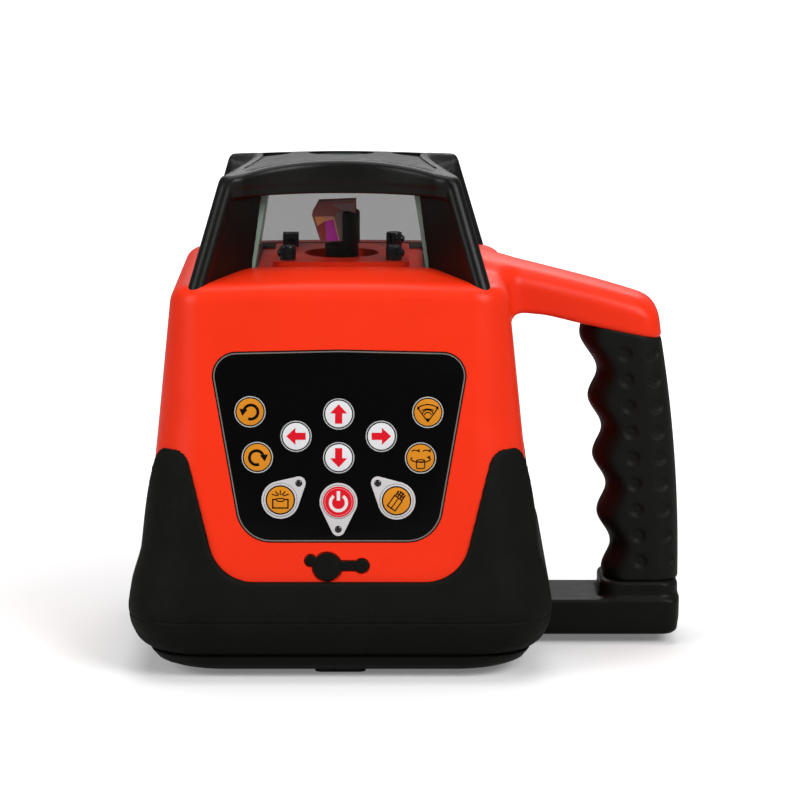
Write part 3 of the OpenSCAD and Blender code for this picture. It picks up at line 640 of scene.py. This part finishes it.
BUMPER_X = [(9, 70.6), (12.4, 74.6), (18.9, 77.3), (25.3, 78.05), (35.5, 76.4), (45.7, 73.1),
            (75.7, 70), (82, 69), (88, 68.4)]
BUMPER_Y = [(9, 72), (12.4, 75.8), (18.9, 78.2), (25.3, 78.95), (35.5, 77.6), (45.7, 76.2),
            (75.7, 72.5), (82, 71.5), (88, 70.8)]


def bumper_outside(x, y, z, inset=0.0):
    seam = 0.35 * np.exp(-((z - SEAM_Z) / 0.4) ** 2)
    half_x, half_y = line(z, BUMPER_X, 1.4) - inset, line(z, BUMPER_Y, 1.4) - inset
    return (box2(x, y, half_x, half_y, 22) + seam) * 0.98


def bumper(x, y, z):
    skin = cut(bumper_outside(x, y, z), cut(9 - z, z - HORN_Z - 0.4, 0.5), 1.4)
    for u, shift in ((x, 0.0), (y, 3.0)):
        skin = cut(skin, -window_field(u, z, shift), 1.6)
    return cut(skin, -(housing_side(x, y, z) + 1.2), 0.4)


def rubber_bumper():
    piece = carve("bumper", bumper, (-79, -80, 9), (79, 80, 88), 1.1, fine=[(2, 21.4, 23.8, 0.3)])
    door_gap = hole(rounded_outline(56, 18, 4, cy=22), 0, 30, facing("y", (0, 60, 0)))
    drill(piece, door_gap, block("notch", *NOTCH))
    finish_piece(piece, "chassis", "rubber_bumper", paint=RUBBER)


def pan(x, y, z):
    half_x = line(z, [(2, 60), (3, 64.2), (5.2, 67.6), (9, 70.2)], 0.5)
    half_y = line(z, [(2, 63), (3, 67.2), (5.2, 70.6), (9, 73.2)], 0.5)
    plan = box2(x, y, half_x, half_y, 20) * 0.7
    solid = cut(plan, cut(2 - z, z - 9, 0.3), 0.8)
    solid = cut(solid, -cut(box2(x, y, 61, 64, 17), 5 - z, 0.6), 0.6)
    boss = cut(disc(x, y, 0, 0, 24), z - 5.4, 0.4)
    boss = cut(join(boss, disc(x, y, 0, 0, 18), 1.0), cut(z - 9, 0.0 - z, 0.2), 0.8)
    screw_boss = cut(disc(np.abs(x), np.abs(y), SCREW_X, SCREW_Y, 5.5), cut(z - 9, 4 - z, 0.2), 0.4)
    screw_boss = cut(screw_boss, plan, 0.4)
    return join(join(solid, boss, 1.0), screw_boss, 0.8)


def base_pan():
    piece = carve("pan", pan, (-70, -73, 0), (70, 73, 9), 0.9, keep=0.7)
    cutters = [hole(ring(13, 64), -2, 20), block("notch", *NOTCH)]
    cutters += [hole(ring(3.8, 32, sx * SCREW_X, sy * SCREW_Y), -2, 6.6)
                for sx in (-1, 1) for sy in (-1, 1)]
    finish_piece(drill(piece, *cutters), "chassis", "base_pan", paint=PAN)


def foot(x, y, z):
    end = line(z, [(3.6, 125.8), (5.4, 127.3), (17.5, 127.6)], 1)
    half_y = line(z, [(3.6, 16.4), (5.4, 17.7), (17.5, 18)], 1)
    plan = box2(x - (end + 60) / 2, y, (end - 60) / 2, half_y, 4.5)
    slab = cut(plan, cut(3.6 - z, z - 17.6, 0.5), 1.8)
    collar = cut(box2(x - 112.5, y, 14.8, 16.5, 7), z - 24.2, 2.2)
    foot_shape = join(slab, cut(collar, 10 - z, 1), 2.4)
    return cut(foot_shape, 66.2 - x, 0.2)


def handle_foot():
    piece = carve("handle_foot", foot, (66, -18, 3.6), (128, 18, 24.4), 0.75)
    hollow = hole(rounded_outline(9.5, 14, 3, cx=79.5), -1, 14)
    finish_piece(drill(piece, hollow), "chassis", "foot_arm", "handle_foot", paint=ARM)


def grip(x, y, z):
    wave = WAVE * np.cos(2 * np.pi * (z - WAVE_Z) / WAVE_PITCH)
    near = 94.1 + 0.085 * (WAVE_Z - z) + wave - 0.34 * ramp(z - 112.5, 2)
    far = 127.6 - ramp(z - 30, 2) ** 2 / 1022
    plan = box2(x - (near + far) / 2, y, (far - near) / 2, 15.5, 9.5)
    plan = cut(plan, 0.4 * np.abs(y) - 0.92 * (x - near) - 2.0, 3)
    body = cut(plan, cut(24 - z, -top_arm(x, y, z) - 0.4, 0.3), 1.6)
    up = z - DIMPLE_Z
    row = up - DIMPLE_PITCH * np.clip(np.round(up / DIMPLE_PITCH), 0, DIMPLE_ROWS - 1)
    for column in (-1, 1):
        cx = GRIP_MID + GRIP_LEAN * (z - 70) + column * DIMPLE_DX
        dip = np.hypot(x - cx, row) / DIMPLE_R
        body = body + DIMPLE_DEEP * np.clip(2.2 - 2.2 * dip, 0, 1) * (np.abs(y) > 10)
    return body * 0.97


def grip_sleeve():
    piece = carve("grip", grip, (90, -15.5, 24), (128.5, 15.5, 124.5), 0.62)
    finish_piece(piece, "chassis", "grip_sleeve", paint=GRIP)


# ---------- lantern ----------

def lerp(a, b, t):
    return a + (b - a) * t


def fin(x, y, z):
    """The four fins: leaning webs, each with a bead along its outer edge."""
    ax, ay = np.abs(x), np.abs(y)
    t = (z - 141) / 36
    inner = lerp(34.5, 30, t)
    ox, oy = lerp(FIN_LOW[0], FIN_HIGH[0], t), lerp(FIN_LOW[1], FIN_HIGH[1], t)
    ex, ey = ox - inner, oy - inner
    s = np.clip(((ax - inner) * ex + (ay - inner) * ey) / (ex * ex + ey * ey), 0, 1)
    web = np.hypot(ax - inner - s * ex, ay - inner - s * ey) - 1.4 - 1.3 * s
    bead = np.hypot(ax - ox, ay - oy) - 3.0
    return join(web, bead, 1.6) * 0.95


def roof_plan(x, y, inset=0.0):
    front_r = (36.5 ** 2 + SCOOP_Y ** 2) / (2 * SCOOP_Y)
    side_r = (41.5 ** 2 + SCOOP_X ** 2) / (2 * SCOOP_X)
    ax, ay = np.abs(x), np.abs(y)
    front = front_r - np.hypot(ax, ay - (ROOF_Y - SCOOP_Y + front_r))
    side = side_r - np.hypot(ax - (ROOF_X - SCOOP_X + side_r), ay)
    return cut(box2(x, y, ROOF_X, ROOF_Y, 5.5), np.maximum(front, side), 2.0) + inset


def dome(x, y, z):
    """The roof's top: arched across the front and flattening towards the back."""
    return (z - ROOF_TOP_Z + (y + CROWN_Y) ** 2 / (2 * CROWN_R) + x * x * (ARCH - ARCH_FADE * y)) * 0.98


def roof(x, y, z):
    below = ramp(FASCIA_Z - z, 0.15)
    plan = roof_plan(x, y) + 0.7 * below / (0.6 + below)
    solid = cut(plan, dome(x, y, z), 2.4)
    solid = cut(solid, GLASS_HIGH_Z - 0.1 - z, 0.8)
    pocket = cut(roof_plan(x, y, 4.4), 177.2 - z, 0.5)
    solid = cut(solid, -pocket, 1.4)
    both = join(solid, cut(fin(x, y, z), dome(x, y, z), 2), 1.5)
    hollow = cut(np.maximum(np.abs(x), np.abs(y)) - lerp(GLASS_LOW, GLASS_HIGH, (z - 146.2) / 27.8),
                 z - GLASS_HIGH_Z, 0.3)
    both = cut(both, -hollow, 0.5)
    return cut(both, -(housing(x, y, z) + 1.5), 0.3)


def roof_frame():
    piece = carve("roof", roof, (-56, -61, 142), (56, 61, 186), 0.72, keep=0.85)
    finish_piece(drill(piece, hole(ring(9, 48), 170, 190)), "chassis", "roof_frame", paint=ROOF)


def cap(x, y, z):
    solid = cut(roof_plan(x, y, 4.3), dome(x, y, z) + 0.15, 1.2)
    return cut(solid, 177.3 - z, 0.4)


def roof_cap():
    piece = carve("cap", cap, (-40, -45, 177), (40, 45, 186.2), 0.75)
    cutters = [hole(ring(r, 96), bottom, 190) for r, bottom in ((12.4, 184), (10.5, 182), (9, 170))]
    cutters += [hole(ring(11, 96, s * RECESS_X, RECESS_Y), 181.2, 190) for s in (-1, 1)]
    finish_piece(drill(piece, *cutters), "chassis", "roof_cap", paint=CAP)


# ---------- keypad ----------

def circles_hull(circles, n=48):
    """Outline of the hull of circles given as (x, y, r)."""
    points = sorted({p for x, y, r in circles for p in ring(r, n, x, y)})

    def half(sequence):
        out = []
        for p in sequence:
            while len(out) > 1 and ((out[-1][0] - out[-2][0]) * (p[1] - out[-2][1])
                                    <= (out[-1][1] - out[-2][1]) * (p[0] - out[-2][0])):
                out.pop()
            out.append(p)
        return out[:-1]
    return half(points) + half(points[::-1])


def rounded_outline(half_x, half_y, r, cx=0.0, cy=0.0):
    corners = [(1, -1, -90), (1, 1, 0), (-1, 1, 90), (-1, -1, 180)]
    return [p for sx, sy, a in corners
            for p in arc(cx + sx * (half_x - r), cy + sy * (half_y - r), r, a, a + 90, 10)]


def keypad_outline(inset):
    circles = [(s * 37.2, 111.8 - FACE_Z, 8.8 - inset) for s in (-1, 1)]
    circles += [(s * 24.6, 64.4 - FACE_Z, 13 - inset) for s in (-1, 1)]
    return circles_hull(circles + [(0, 121.4 - FACE_Z - 20 - inset, 20)], 96)


def band(outer, inner, name, bottom, top, place):
    """A flat ring between two outlines with the same number of points."""
    n = len(outer)
    points = [(*p, w) for w in (bottom, top) for outline in (outer, inner) for p in outline]
    faces = []
    for i in range(n):
        j = (i + 1) % n
        faces += [(2 * n + i, 2 * n + j, 3 * n + j, 3 * n + i), (i, j, 2 * n + j, 2 * n + i),
                  (n + j, n + i, 3 * n + i, 3 * n + j), (j, i, n + i, n + j)]
    return crease(new_object(name, [place(*p) for p in points], faces))


def resample(outline, n):
    """n points at even steps along a closed outline."""
    p = np.array(list(outline) + [outline[0]], float)
    along = np.concatenate([[0], np.cumsum(np.hypot(*np.diff(p, axis=0).T))])
    t = np.linspace(0, along[-1], n, endpoint=False)
    return list(zip(np.interp(t, along, p[:, 0]), np.interp(t, along, p[:, 1])))


def fuse(pieces, name):
    """Joins pieces into the first, keeping their materials."""
    with bpy.context.temp_override(active_object=pieces[0], selected_editable_objects=pieces):
        bpy.ops.object.join()
    pieces[0].name = name
    return pieces[0]


def stroke(points, width):
    """Outline of a line of that width through points."""
    p = np.array(points, float)
    d = np.gradient(p, axis=0)
    d /= np.linalg.norm(d, axis=1, keepdims=True)
    side = np.stack([-d[:, 1], d[:, 0]], 1) * width / 2
    return [tuple(q) for q in np.concatenate([p - side, (p + side)[::-1]])]


def arrow_head(tip, angle, size):
    """A triangle whose tip points at angle, in degrees."""
    a = math.radians(angle)
    along, across = (math.cos(a), math.sin(a)), (-math.sin(a), math.cos(a))
    back = (tip[0] - size * along[0], tip[1] - size * along[1])
    wide = 0.6 * size
    return [tip] + [(back[0] + s * wide * across[0], back[1] + s * wide * across[1]) for s in (1, -1)]


def mirror(outline):
    return [(-x, y) for x, y in outline[::-1]]


def sign_turn():
    return [stroke(arc(0.3, -0.1, 2.55, 158, -112, 32), 1.05), arrow_head((-2.75, -1.5), 262, 2.5)]


def sign_arrow(angle):
    a = math.radians(angle)
    head = [(3.5, 0), (0.2, 3.1), (0.2, 1.3), (-3.5, 1.3), (-3.5, -1.3), (0.2, -1.3), (0.2, -3.1)]
    return [[(x * math.cos(a) - y * math.sin(a), x * math.sin(a) + y * math.cos(a)) for x, y in head]]


def bar(a, b, width):
    return stroke([a, ((a[0] + b[0]) / 2, (a[1] + b[1]) / 2), b], width)


def sign_scan():
    tip = (0, -3.4)
    parts = [bar(tip, (s * 3.7, 1.6), 0.42) for s in (-1, 1)]
    parts += [stroke(arc(0, -3.4, r, 90 + half, 90 - half, 16), 0.42) for r, half in ((6.2, 36), (4.6, 28))]
    parts += [stroke(arc(0, -1.2, r, 170, 10, 12), 0.4) for r in (1.2, 2.1)]
    return parts + [[(0, -3.6), (0.75, -2.2), (-0.75, -2.2)], arrow_head((-3.9, 1.0), 232, 1.1),
                    arrow_head((3.9, 1.0), -52, 1.1)]


def sign_speed():
    parts = [stroke(oval(0, -0.4, 3.5, 1.15, 150, 395), 0.42), arrow_head((3.4, 0.9), 60, 1.2)]
    parts += [bar((x, -1.2), (x, -3.5), 0.4) for x in (-1.5, 1.5)]
    parts += [stroke(oval(0, -3.5, 1.5, 0.35, 180, 360, 12), 0.4),
              stroke(oval(0, -1.0, 1.5, 0.4, 0, 350, 16), 0.38)]
    for s in (-1, 1):
        parts += [stroke(oval(s * 2.0, 2.4, 1.1, 0.4, 200, -20, 12), 0.4),
                  arrow_head((s * 2.0 + 1.7, 2.0), -55, 1.1)]
    return parts


def sign_tilt():
    parts = [bar((-2.9, -2.9), (2.9, -2.9), 0.5)]
    parts += [bar((x, -3.1), (x, 0.3), 0.5) for x in (-2.75, 2.75)]
    parts += [bar((s * 2.9, 0.2), (s * 1.4, 0.2), 0.45) for s in (-1, 1)]
    parts += [stroke(oval(0, 0.2, 1.5, 0.75, 180, 360, 14), 0.42),
              stroke(oval(0, 0.2, 1.5, 0.35, 0, 180, 14), 0.42)]
    for a in np.radians([25, 58, 90, 122, 155]):
        c, s = math.cos(a), math.sin(a)
        parts.append(bar((c, 1.3 + 0.5 * s), (3.4 * c, 1.0 + 2.5 * s), 0.42))
    return parts


def sign_mode():
    c, s = math.cos(0.62), math.sin(0.62)

    def side(a, b, width=0.45):
        return bar(*[(x * c + y * s, y * c - x * s) for x, y in (a, b)], width)
    parts = [side((x, -3.3), (x, 1.2)) for x in (-1.7, 1.7)]
    parts += [side((-1.9, y), (1.9, y)) for y in (-3.3, 1.2)]
    parts.append(side((0, -3.3), (0, 1.2), 0.38))
    parts += [side((x, 1.5), (x, 3.4), 0.55) for x in (-1.4, -0.5, 0.5, 1.4)]
    return parts + [side((-1.7, 2.4), (1.7, 2.4), 0.4), side((-1.0, 3.5), (1.0, 3.5), 0.5)]


def sign_power():
    return [stroke(arc(0, -0.3, 2.9, 125, 415, 36), 1.15), stroke([(0, 0.5), (0, 2), (0, 3.9)], 1.2)]


KEYS = {"key_turn_left": ((-32.2, 98.8), AMBER, INK, sign_turn()),
        "key_turn_right": ((-29.6, 82.4), AMBER, INK, [mirror(p) for p in sign_turn()]),
        "key_arrow_left": ((-15.6, 90), WHITE, RED, sign_arrow(180)),
        "key_arrow_up": ((-0.2, 98), WHITE, RED, sign_arrow(90)),
        "key_arrow_down": ((-0.2, 82.3), WHITE, RED, sign_arrow(-90)),
        "key_arrow_right": ((15.2, 90), WHITE, RED, sign_arrow(0)),
        "key_scan": ((32, 98.6), AMBER, INK, sign_scan()),
        "key_speed": ((29.4, 82.2), AMBER, INK, sign_speed()),
        "key_tilt": ((-21.3, 67.1), AMBER, INK, sign_tilt()),
        "key_power": ((-0.3, 66.4), RED, WHITE, sign_power()),
        "key_mode": ((20.7, 66.8), AMBER, INK, sign_mode())}
TEARS = {"key_tilt": (-14.6, 73.1), "key_power": (-0.4, 56.5), "key_mode": (13.9, 73.1)}


def keys():
    for name, (at_face, shade, ink, sign) in KEYS.items():
        place = on_face(*at_face)
        power, tear = name == "key_power", name in TEARS
        radius = KEY_R + 0.2 if tear else KEY_R
        body = prism("body", ring(radius, 72), -1.9, KEY_HIGH - 0.06, place, bevel=0.2)
        parts = [painted(body, DROP if tear else INK)]
        if tear:
            edge = prism("edge", ring(5.6 if power else 5.35, 72), 0.3, KEY_HIGH, place, bevel=0.05)
            parts.append(painted(edge, RED if power else INK))
        else:
            rim = band(ring(KEY_R - 0.15, 72), ring(KEY_R - 0.5, 72), "rim", KEY_HIGH - 0.2, KEY_HIGH, place)
            parts.append(painted(rim, RIM))
        if power:
            pale = band(ring(5.0, 72), ring(4.86, 72), "line", 0.4, KEY_HIGH + 0.03, place)
            parts.append(painted(pale, PALE))
        face = prism("disc", ring(4.85, 72), 0.3, KEY_HIGH + 0.02, place, bevel=0.05)
        parts.append(painted(face, shade))
        parts += [painted(prism("sign", outline, 0.4, KEY_HIGH + 0.05, place), ink) for outline in sign]
        finish_piece(fuse(parts, name + "_cap"), name, name)


def keypad():
    place = on_face(0, FACE_Z)

    def local(p):
        return p[0], (p[1] - FACE_Z) / math.cos(FACE_TILT)

    def openings(outlines):
        return [hole(outline, -3, 3, place) for outline in outlines]
    overlay = prism("overlay", keypad_outline(0.15), -0.8, 0.2, place, bevel=0.12)
    drill(overlay, *openings([ring(KEY_R + KEY_GAP, 64, *local(key[0])) for key in KEYS.values()]
                             + [ring(LED_R, 32, *local(led)) for led in TEARS.values()]))
    finish_piece(overlay, "chassis", "keypad_overlay", paint=OVERLAY)
    n = 240
    edge = band(resample(keypad_outline(0.5), n), resample(keypad_outline(0.95), n), "keypad_border",
                0.1, 0.23, place)
    finish_piece(edge, "chassis", paint=BORDER, slot="overlay_black")
    parts = []
    for key, led in TEARS.items():
        kx, kz = local(KEYS[key][0])
        lx, lz = local(led)
        drop = prism("drop", circles_hull([(kx, kz, 6.85), (lx, lz, 2.45)], 72), 0.1, 0.5, place, bevel=0.15)
        drill(drop, *openings([ring(KEY_R + KEY_GAP, 64, kx, kz), ring(LED_R, 32, lx, lz)]))
        parts.append(painted(drop, DROP))
    finish_piece(fuse(parts, "surrounds"), "chassis", "keypad_surrounds")
    lenses = [lathe("lens", [(0, -2), (1.25, -2), (1.25, 0.35), (1.0, 0.55), (0.5, 0.68), (0, 0.72)],
                    on_face(*led), 24) for led in TEARS.values()]
    finish_piece(fuse(lenses, "lenses"), "chassis", "status_lenses", paint=LENS)


# ---------- jack cover ----------

def jack_cover_field(u, v, w):
    flat = np.maximum(-0.9 - w, w - 0.95 + 0.004 * (u * u + v * v))
    button = cut(disc(u, v, 0, 0, FLAP_R), flat, 1.2)
    lobe = cut(disc(u, v, *LOBE, 2.1), np.maximum(-0.9 - w, w - 0.5), 0.9)
    button = join(button, lobe, 0.8)
    groove = np.abs(np.hypot(u, v) - 4.0) - 0.18
    button = cut(button, -np.maximum(groove, 0.72 - w), 0.3)
    plug = cut(disc(u, v, 0, 0, 3.2), np.maximum(-2.8 - w, w), 0.6)
    return np.minimum(button, plug)


def strap_field(u, v, w):
    strip = cut(np.abs(v - ANCHOR[1]) - STRAP_HALF, np.abs(w + 0.1) - 0.42, 0.5)
    return cut(strip, np.maximum(3.6 - u, u - 12.4), 0.3)


def stud_field(u, v, w):
    return cut(disc(u, v, *ANCHOR, 2.6), cut(-1.1 - w, w - 0.72, 0.2), 0.8)


def jack_parts():
    place = on_face(*JACK_AT)
    cover = carve("jack_flap", jack_cover_field, (-11, -6, -2.8), (6, 6, 1.2), 0.22, place=place)
    finish_piece(cover, "jack_cover", "jack_cover", paint=RUBBER)
    stud = carve("jack_stud", stud_field, (9.5, -3, -1.1), (15.5, 3.5, 0.8), 0.22, place=place)
    finish_piece(stud, "chassis", "jack_anchor", paint=RUBBER)
    strap = carve("jack_strap", strap_field, (3, -1.6, -0.7), (13, 2.4, 0.5), 0.2, place=place)
    strap.data.materials.append(RUBBER)
    tuple(Vector(place(STRAP_BEND[0], 0, 0)) * MM)
    tuple(Vector(place(STRAP_BEND[1], 0, 0)) * MM)
    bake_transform(strap)


# ---------- battery drawer ----------

def door(x, y, z):
    plan = box2(x, z - 24.7, 54.8, 14.6, 4.5)
    return cut(cut(plan, bumper_outside(x, y, z, 0.6), 1.6), 71.5 - y, 0.4)


def battery_door():
    lid = carve("door", door, (-55, 71.5, 10), (55, 78.6, 39.4), 0.8)
    drill(lid, hole(ring(10.3, 72), 74.4, 90, facing("y", (0, 0, KNOB_Z))))
    tray = prism("tray", rounded_outline(53.8, 27.4, 2.5, cy=44.6), 9.9, 30, bevel=0.5)
    drill(tray, hole(rounded_outline(52.2, 26.3, 1.5, cy=45.1), 11.3, 40))
    piece = fuse([painted(lid, DRAWER), painted(tray, DRAWER)], "drawer")
    finish_piece(piece, "battery_drawer", "battery_drawer")


def battery_knob():
    place = facing("y", (0, 0, KNOB_Z))
    profile = [(0, 74.7), (9.8, 74.7), (9.8, 76.6), (9.5, 77.05), (8.9, 77.2), (7.6, 77.2), (7.3, 76.7),
               (4, 76.6), (0, 76.6)]
    knob = lathe("knob", profile, place, 72)
    wing = prism("wing", rounded_outline(1.9, 8.2, 1.8), 76, 78.8, place, bevel=0.7)
    stem = prism("stem", ring(2.5, 32), 71.8, 75, place)
    piece = fuse([painted(p, ARM) for p in (knob, wing, stem)], "drawer_knob")
    finish_piece(piece, "battery_knob", "battery_knob")


# ---------- rotor and prism ----------

# Coloured reflections in the prism's two flat faces, as outlines in x and z
REFLECTION_PATCHES = [(REFLECTION_AMBER, [(-10.1, 161.8), (-9.0, 158.4), (-6.2, 160.2), (-6.2, 161.9)]),
          (REFLECTION_SALMON, [(-6.1, 161.9), (-6.1, 160.1), (-3.2, 160.8), (-2.9, 161.9)]),
          (REFLECTION_DEEP_RED, [(-8.9, 158.2), (-7.4, 152.8), (-5.8, 152.8), (-6.1, 159.9)]),
          (REFLECTION_VIOLET, [(-6.0, 159.9), (-5.7, 152.8), (-1.2, 152.8), (-3.2, 160.6)]),
          (REFLECTION_SALMON, [(-3.1, 161.4), (-1.1, 152.8), (-0.7, 152.8), (-2.7, 161.6)]),
          (REFLECTION_GREY, [(-2.5, 161.8), (-0.5, 152.8), (0.4, 152.8), (0.4, 163.6), (-1.6, 163.9)]),
          (REFLECTION_GREY, [(-3.4, 166.6), (0.9, 163.7), (5.0, 163.7), (5.0, 167.0)])]


def rotor():
    neck = lathe("neck", [(4, 138), (6.85, 138), (6.85, 139.4), (6.35, 139.7), (6.35, 151.2), (6.85, 151.6),
                          (6.85, 152.3), (6.6, 152.5), (2.5, 152.5), (2.5, 146), (4, 146)], at(0, 0), 96)
    outline = [(0.4, -6.6)] + arc(0, 0, 6.85, -86, 86, 40) + [(0.4, 6.6)]
    column = prism("column", outline, 152.4, 164, bevel=1.2, segments=5)
    finish_piece(fuse([painted(neck, ROTOR), painted(column, ROTOR)], "head"), "rotor", "rotor_head")
    place = facing("y", (0, 0, 0))
    side = mirror([(-10.8, 162.6), (-8.4, 166.8), (5.2, 167.4), (5.2, 163.5), (0.5, 163.5),
                   (0.5, 152.5), (-7.6, 152.5)])
    penta = prism("penta", side, -5.3, 5.3, place, bevel=0.3, top_only=False)
    facets = [painted(penta, PRISM)]
    # Thin patches on both flat faces carry the painted reflections.
    for paint, corners in REFLECTION_PATCHES:
        for near in (True, False):
            low_w, high_w = (-5.36, -5.2) if near else (5.2, 5.36)
            facets.append(painted(prism("facet", mirror(corners), low_w, high_w, place), paint))
    finish_piece(fuse(facets, "prism_block"), "rotor", "pentaprism")


# ---------- glass and posts ----------

def panes():
    drop = GLASS_HIGH_Z - GLASS_LOW_Z - 0.04
    lean = math.atan((GLASS_LOW - GLASS_HIGH) / drop)
    height = drop / math.cos(lean)
    parts = []
    for turn in range(4):
        inset = GLASS_T + 0.05 if turn % 2 else 0.0
        outline = [(-GLASS_LOW + inset, 0), (GLASS_LOW - inset, 0), (GLASS_HIGH - inset, height),
                   (-GLASS_HIGH + inset, height)]
        c, s = math.cos(turn * math.pi / 2), math.sin(turn * math.pi / 2)

        def place(u, v, w):
            y = -GLASS_LOW + v * math.sin(lean) - w * math.cos(lean)
            return (c * u - s * y, s * u + c * y, GLASS_LOW_Z + v * math.cos(lean) + w * math.sin(lean))
        pane = prism("pane", outline, -GLASS_T, 0, place, bevel=0.3, top_only=False)
        pane.data.materials.append(REAR_GLASS if turn == 2 else GLASS)
        pane.data.materials.append(GLASS_EDGE)
        for face in pane.data.polygons:
            face.material_index = 0 if face.area > 100 * MM * MM else 1
        parts.append(pane)
    finish_piece(fuse(parts, "glass_panes"), "chassis", "lantern_glass")


def posts():
    parts = []
    for sx in (-1, 1):
        for sy in (-1, 1):
            if sx < 0 < sy:
                parts.append(prism("post", rounded_outline(3, 3, 0.4), DECK_Z, DECK_Z + 5,
                                   at(-POST_AT, POST_AT), bevel=0.3))
                continue
            parts.append(prism("post", ring(3, 48), DECK_Z, DECK_Z + 5.2,
                               at(sx * POST_AT, sy * POST_AT), bevel=0.5))
            side = facing("x", (sx * (POST_AT + 2.6), sy * POST_AT, DECK_Z + 2.6))
            head = [(0, -0.4), (1.7, -0.4), (1.7, 0.1), (1.5, 0.7), (1.0, 1.2), (0.4, 1.4), (0, 1.42)]
            parts.append(lathe("post_screw", [(r, w * sx) for r, w in head], side, 32))
    finish_piece(fuse(parts, "posts"), "chassis", "deck_posts", paint=POST)


# ---------- the CAD nodes that stay as they are ----------

KEPT = {"handle_core": CORE, "roof_window": WINDOW, "lantern_gasket": GASKET,
        "inner_deck": ORANGE, "keypad_board": BOARD, "main_board": BOARD,
        "charge_jack": JACK, "tripod_insert": BRASS, "plumb_window": WINDOW, "feet": FEET,
        "case_screws": STEEL, "gimbal_frame": CAST, "level_motor_x": CAN, "battery_bay": BAY,
        "tilt_ring": CAST, "level_motor_y": CAN, "lead_screw_x": SHAFT, "lead_nut_x": ACETAL,
        "lead_screw_y": SHAFT, "lead_nut_y": ACETAL, "laser_barrel": BARREL, "laser_module": MODULE,
        "spindle_bearings": BEARING, "drive_motor": CAN, "motor_pulley": ACETAL, "drive_belt": BELT,
        "rotor_spindle": SHAFT, "driven_pulley": ACETAL, "battery_cells": JACKET,
        "battery_contacts": NICKEL}


def keep_cad():
    for name, paint in KEPT.items():
        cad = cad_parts[name]
        crease(painted(cad, paint))
        edge = cad.modifiers.new("edge", "BEVEL")
        edge.width = 0.25 * MM
        edge.segments = 2
        edge.limit_method = "ANGLE"
        edge.angle_limit = math.radians(50)
        edge.harden_normals = True


# ---------- room ----------

def soft_light(name, size, energy, where):
    """A square lamp that points at the middle of the level."""
    lamp = bpy.data.lights.new(name, "AREA")
    lamp.size = size
    lamp.energy = energy
    made = bpy.data.objects.new(name, lamp)
    bpy.context.scene.collection.objects.link(made)
    made.location = where
    made.rotation_euler = (Vector((0, 0, 0.08)) - Vector(where)).to_track_quat("-Z", "Y").to_euler()


def mix_shaders(tree, factor, first, second):
    mix = node(tree, "ShaderNodeMixShader")
    for source, socket in ((factor, "Fac"), (first, 1), (second, 2)):
        tree.links.new(source, mix.inputs[socket])
    return mix.outputs["Shader"]


def seen_white(tree, lit, seen):
    """Mixes a lit shader with another that only the camera sees."""
    return mix_shaders(tree, node(tree, "ShaderNodeLightPath").outputs["Is Camera Ray"], lit, seen)


def white_sweep(tree):
    """A floor that takes soft shadows near the object and is plain white further out."""
    place = node(tree, "ShaderNodeTexCoord").outputs["Object"]
    far = node(tree, "ShaderNodeVectorMath", operation="LENGTH")
    tree.links.new(place, far.inputs[0])
    lit = node(tree, "ShaderNodeBsdfDiffuse", Color=(0.9, 0.9, 0.9, 1))
    glow = node(tree, "ShaderNodeEmission", Strength=1.4)
    return mix_shaders(tree, spread(tree, far.outputs["Value"], 0.12, 1.0, 0.14, 0.42),
                       lit.outputs["BSDF"], glow.outputs["Emission"])


def room():
    scene = bpy.context.scene
    floor = new_object("floor", [(-9000, -9000, 0), (9000, -9000, 0), (9000, 9000, 0), (-9000, 9000, 0)],
                       [(0, 1, 2, 3)], smooth=False)
    pale = painted(floor, material("floor", (0.5, 0.5, 0.5), 0.8, grain=300, bump=0.0, vary=0.01, cloud=2))
    tree = pale.data.materials[0].node_tree
    tree.links.new(seen_white(tree, tree.nodes["Principled BSDF"].outputs["BSDF"], white_sweep(tree)),
                   tree.nodes["Material Output"].inputs["Surface"])
    scene.world = bpy.data.worlds.new("studio")
    scene.world.use_nodes = True
    tree = scene.world.node_tree
    sky = tree.nodes["Background"]
    sky.inputs["Color"].default_value = (1, 1, 1, 1)
    sky.inputs["Strength"].default_value = 0.22
    white = node(tree, "ShaderNodeBackground", Color=(1, 1, 1, 1), Strength=1.0)
    tree.links.new(seen_white(tree, sky.outputs["Background"], white.outputs["Background"]),
                   tree.nodes["World Output"].inputs["Surface"])
    soft_light("key", 0.8, 20, (0.9, -1.1, 1.0))
    soft_light("fill", 0.8, 11, (-1.2, -0.9, 0.7))
    soft_light("top", 1.0, 9, (0.0, 0.1, 1.3))
    soft_light("back", 0.8, 5, (0.1, 1.1, 0.9))
    scene.view_settings.view_transform = "Standard"
    camera = bpy.data.cameras.new("camera")
    camera.lens = 168.6
    camera.sensor_width = 36
    camera.clip_start = 0.05
    made = bpy.data.objects.new("camera", camera)
    made.location = (0.02195, -1.400, 0.337)
    made.rotation_euler = (math.radians(90 - 9.96), 0, 0)
    scene.collection.objects.link(made)
    scene.camera = made


keep_cad()
upper_housing()
rubber_bumper()
base_pan()
handle_foot()
grip_sleeve()
roof_frame()
roof_cap()
keypad()
keys()
jack_parts()
battery_door()
battery_knob()
rotor()
panes()
posts()
room()
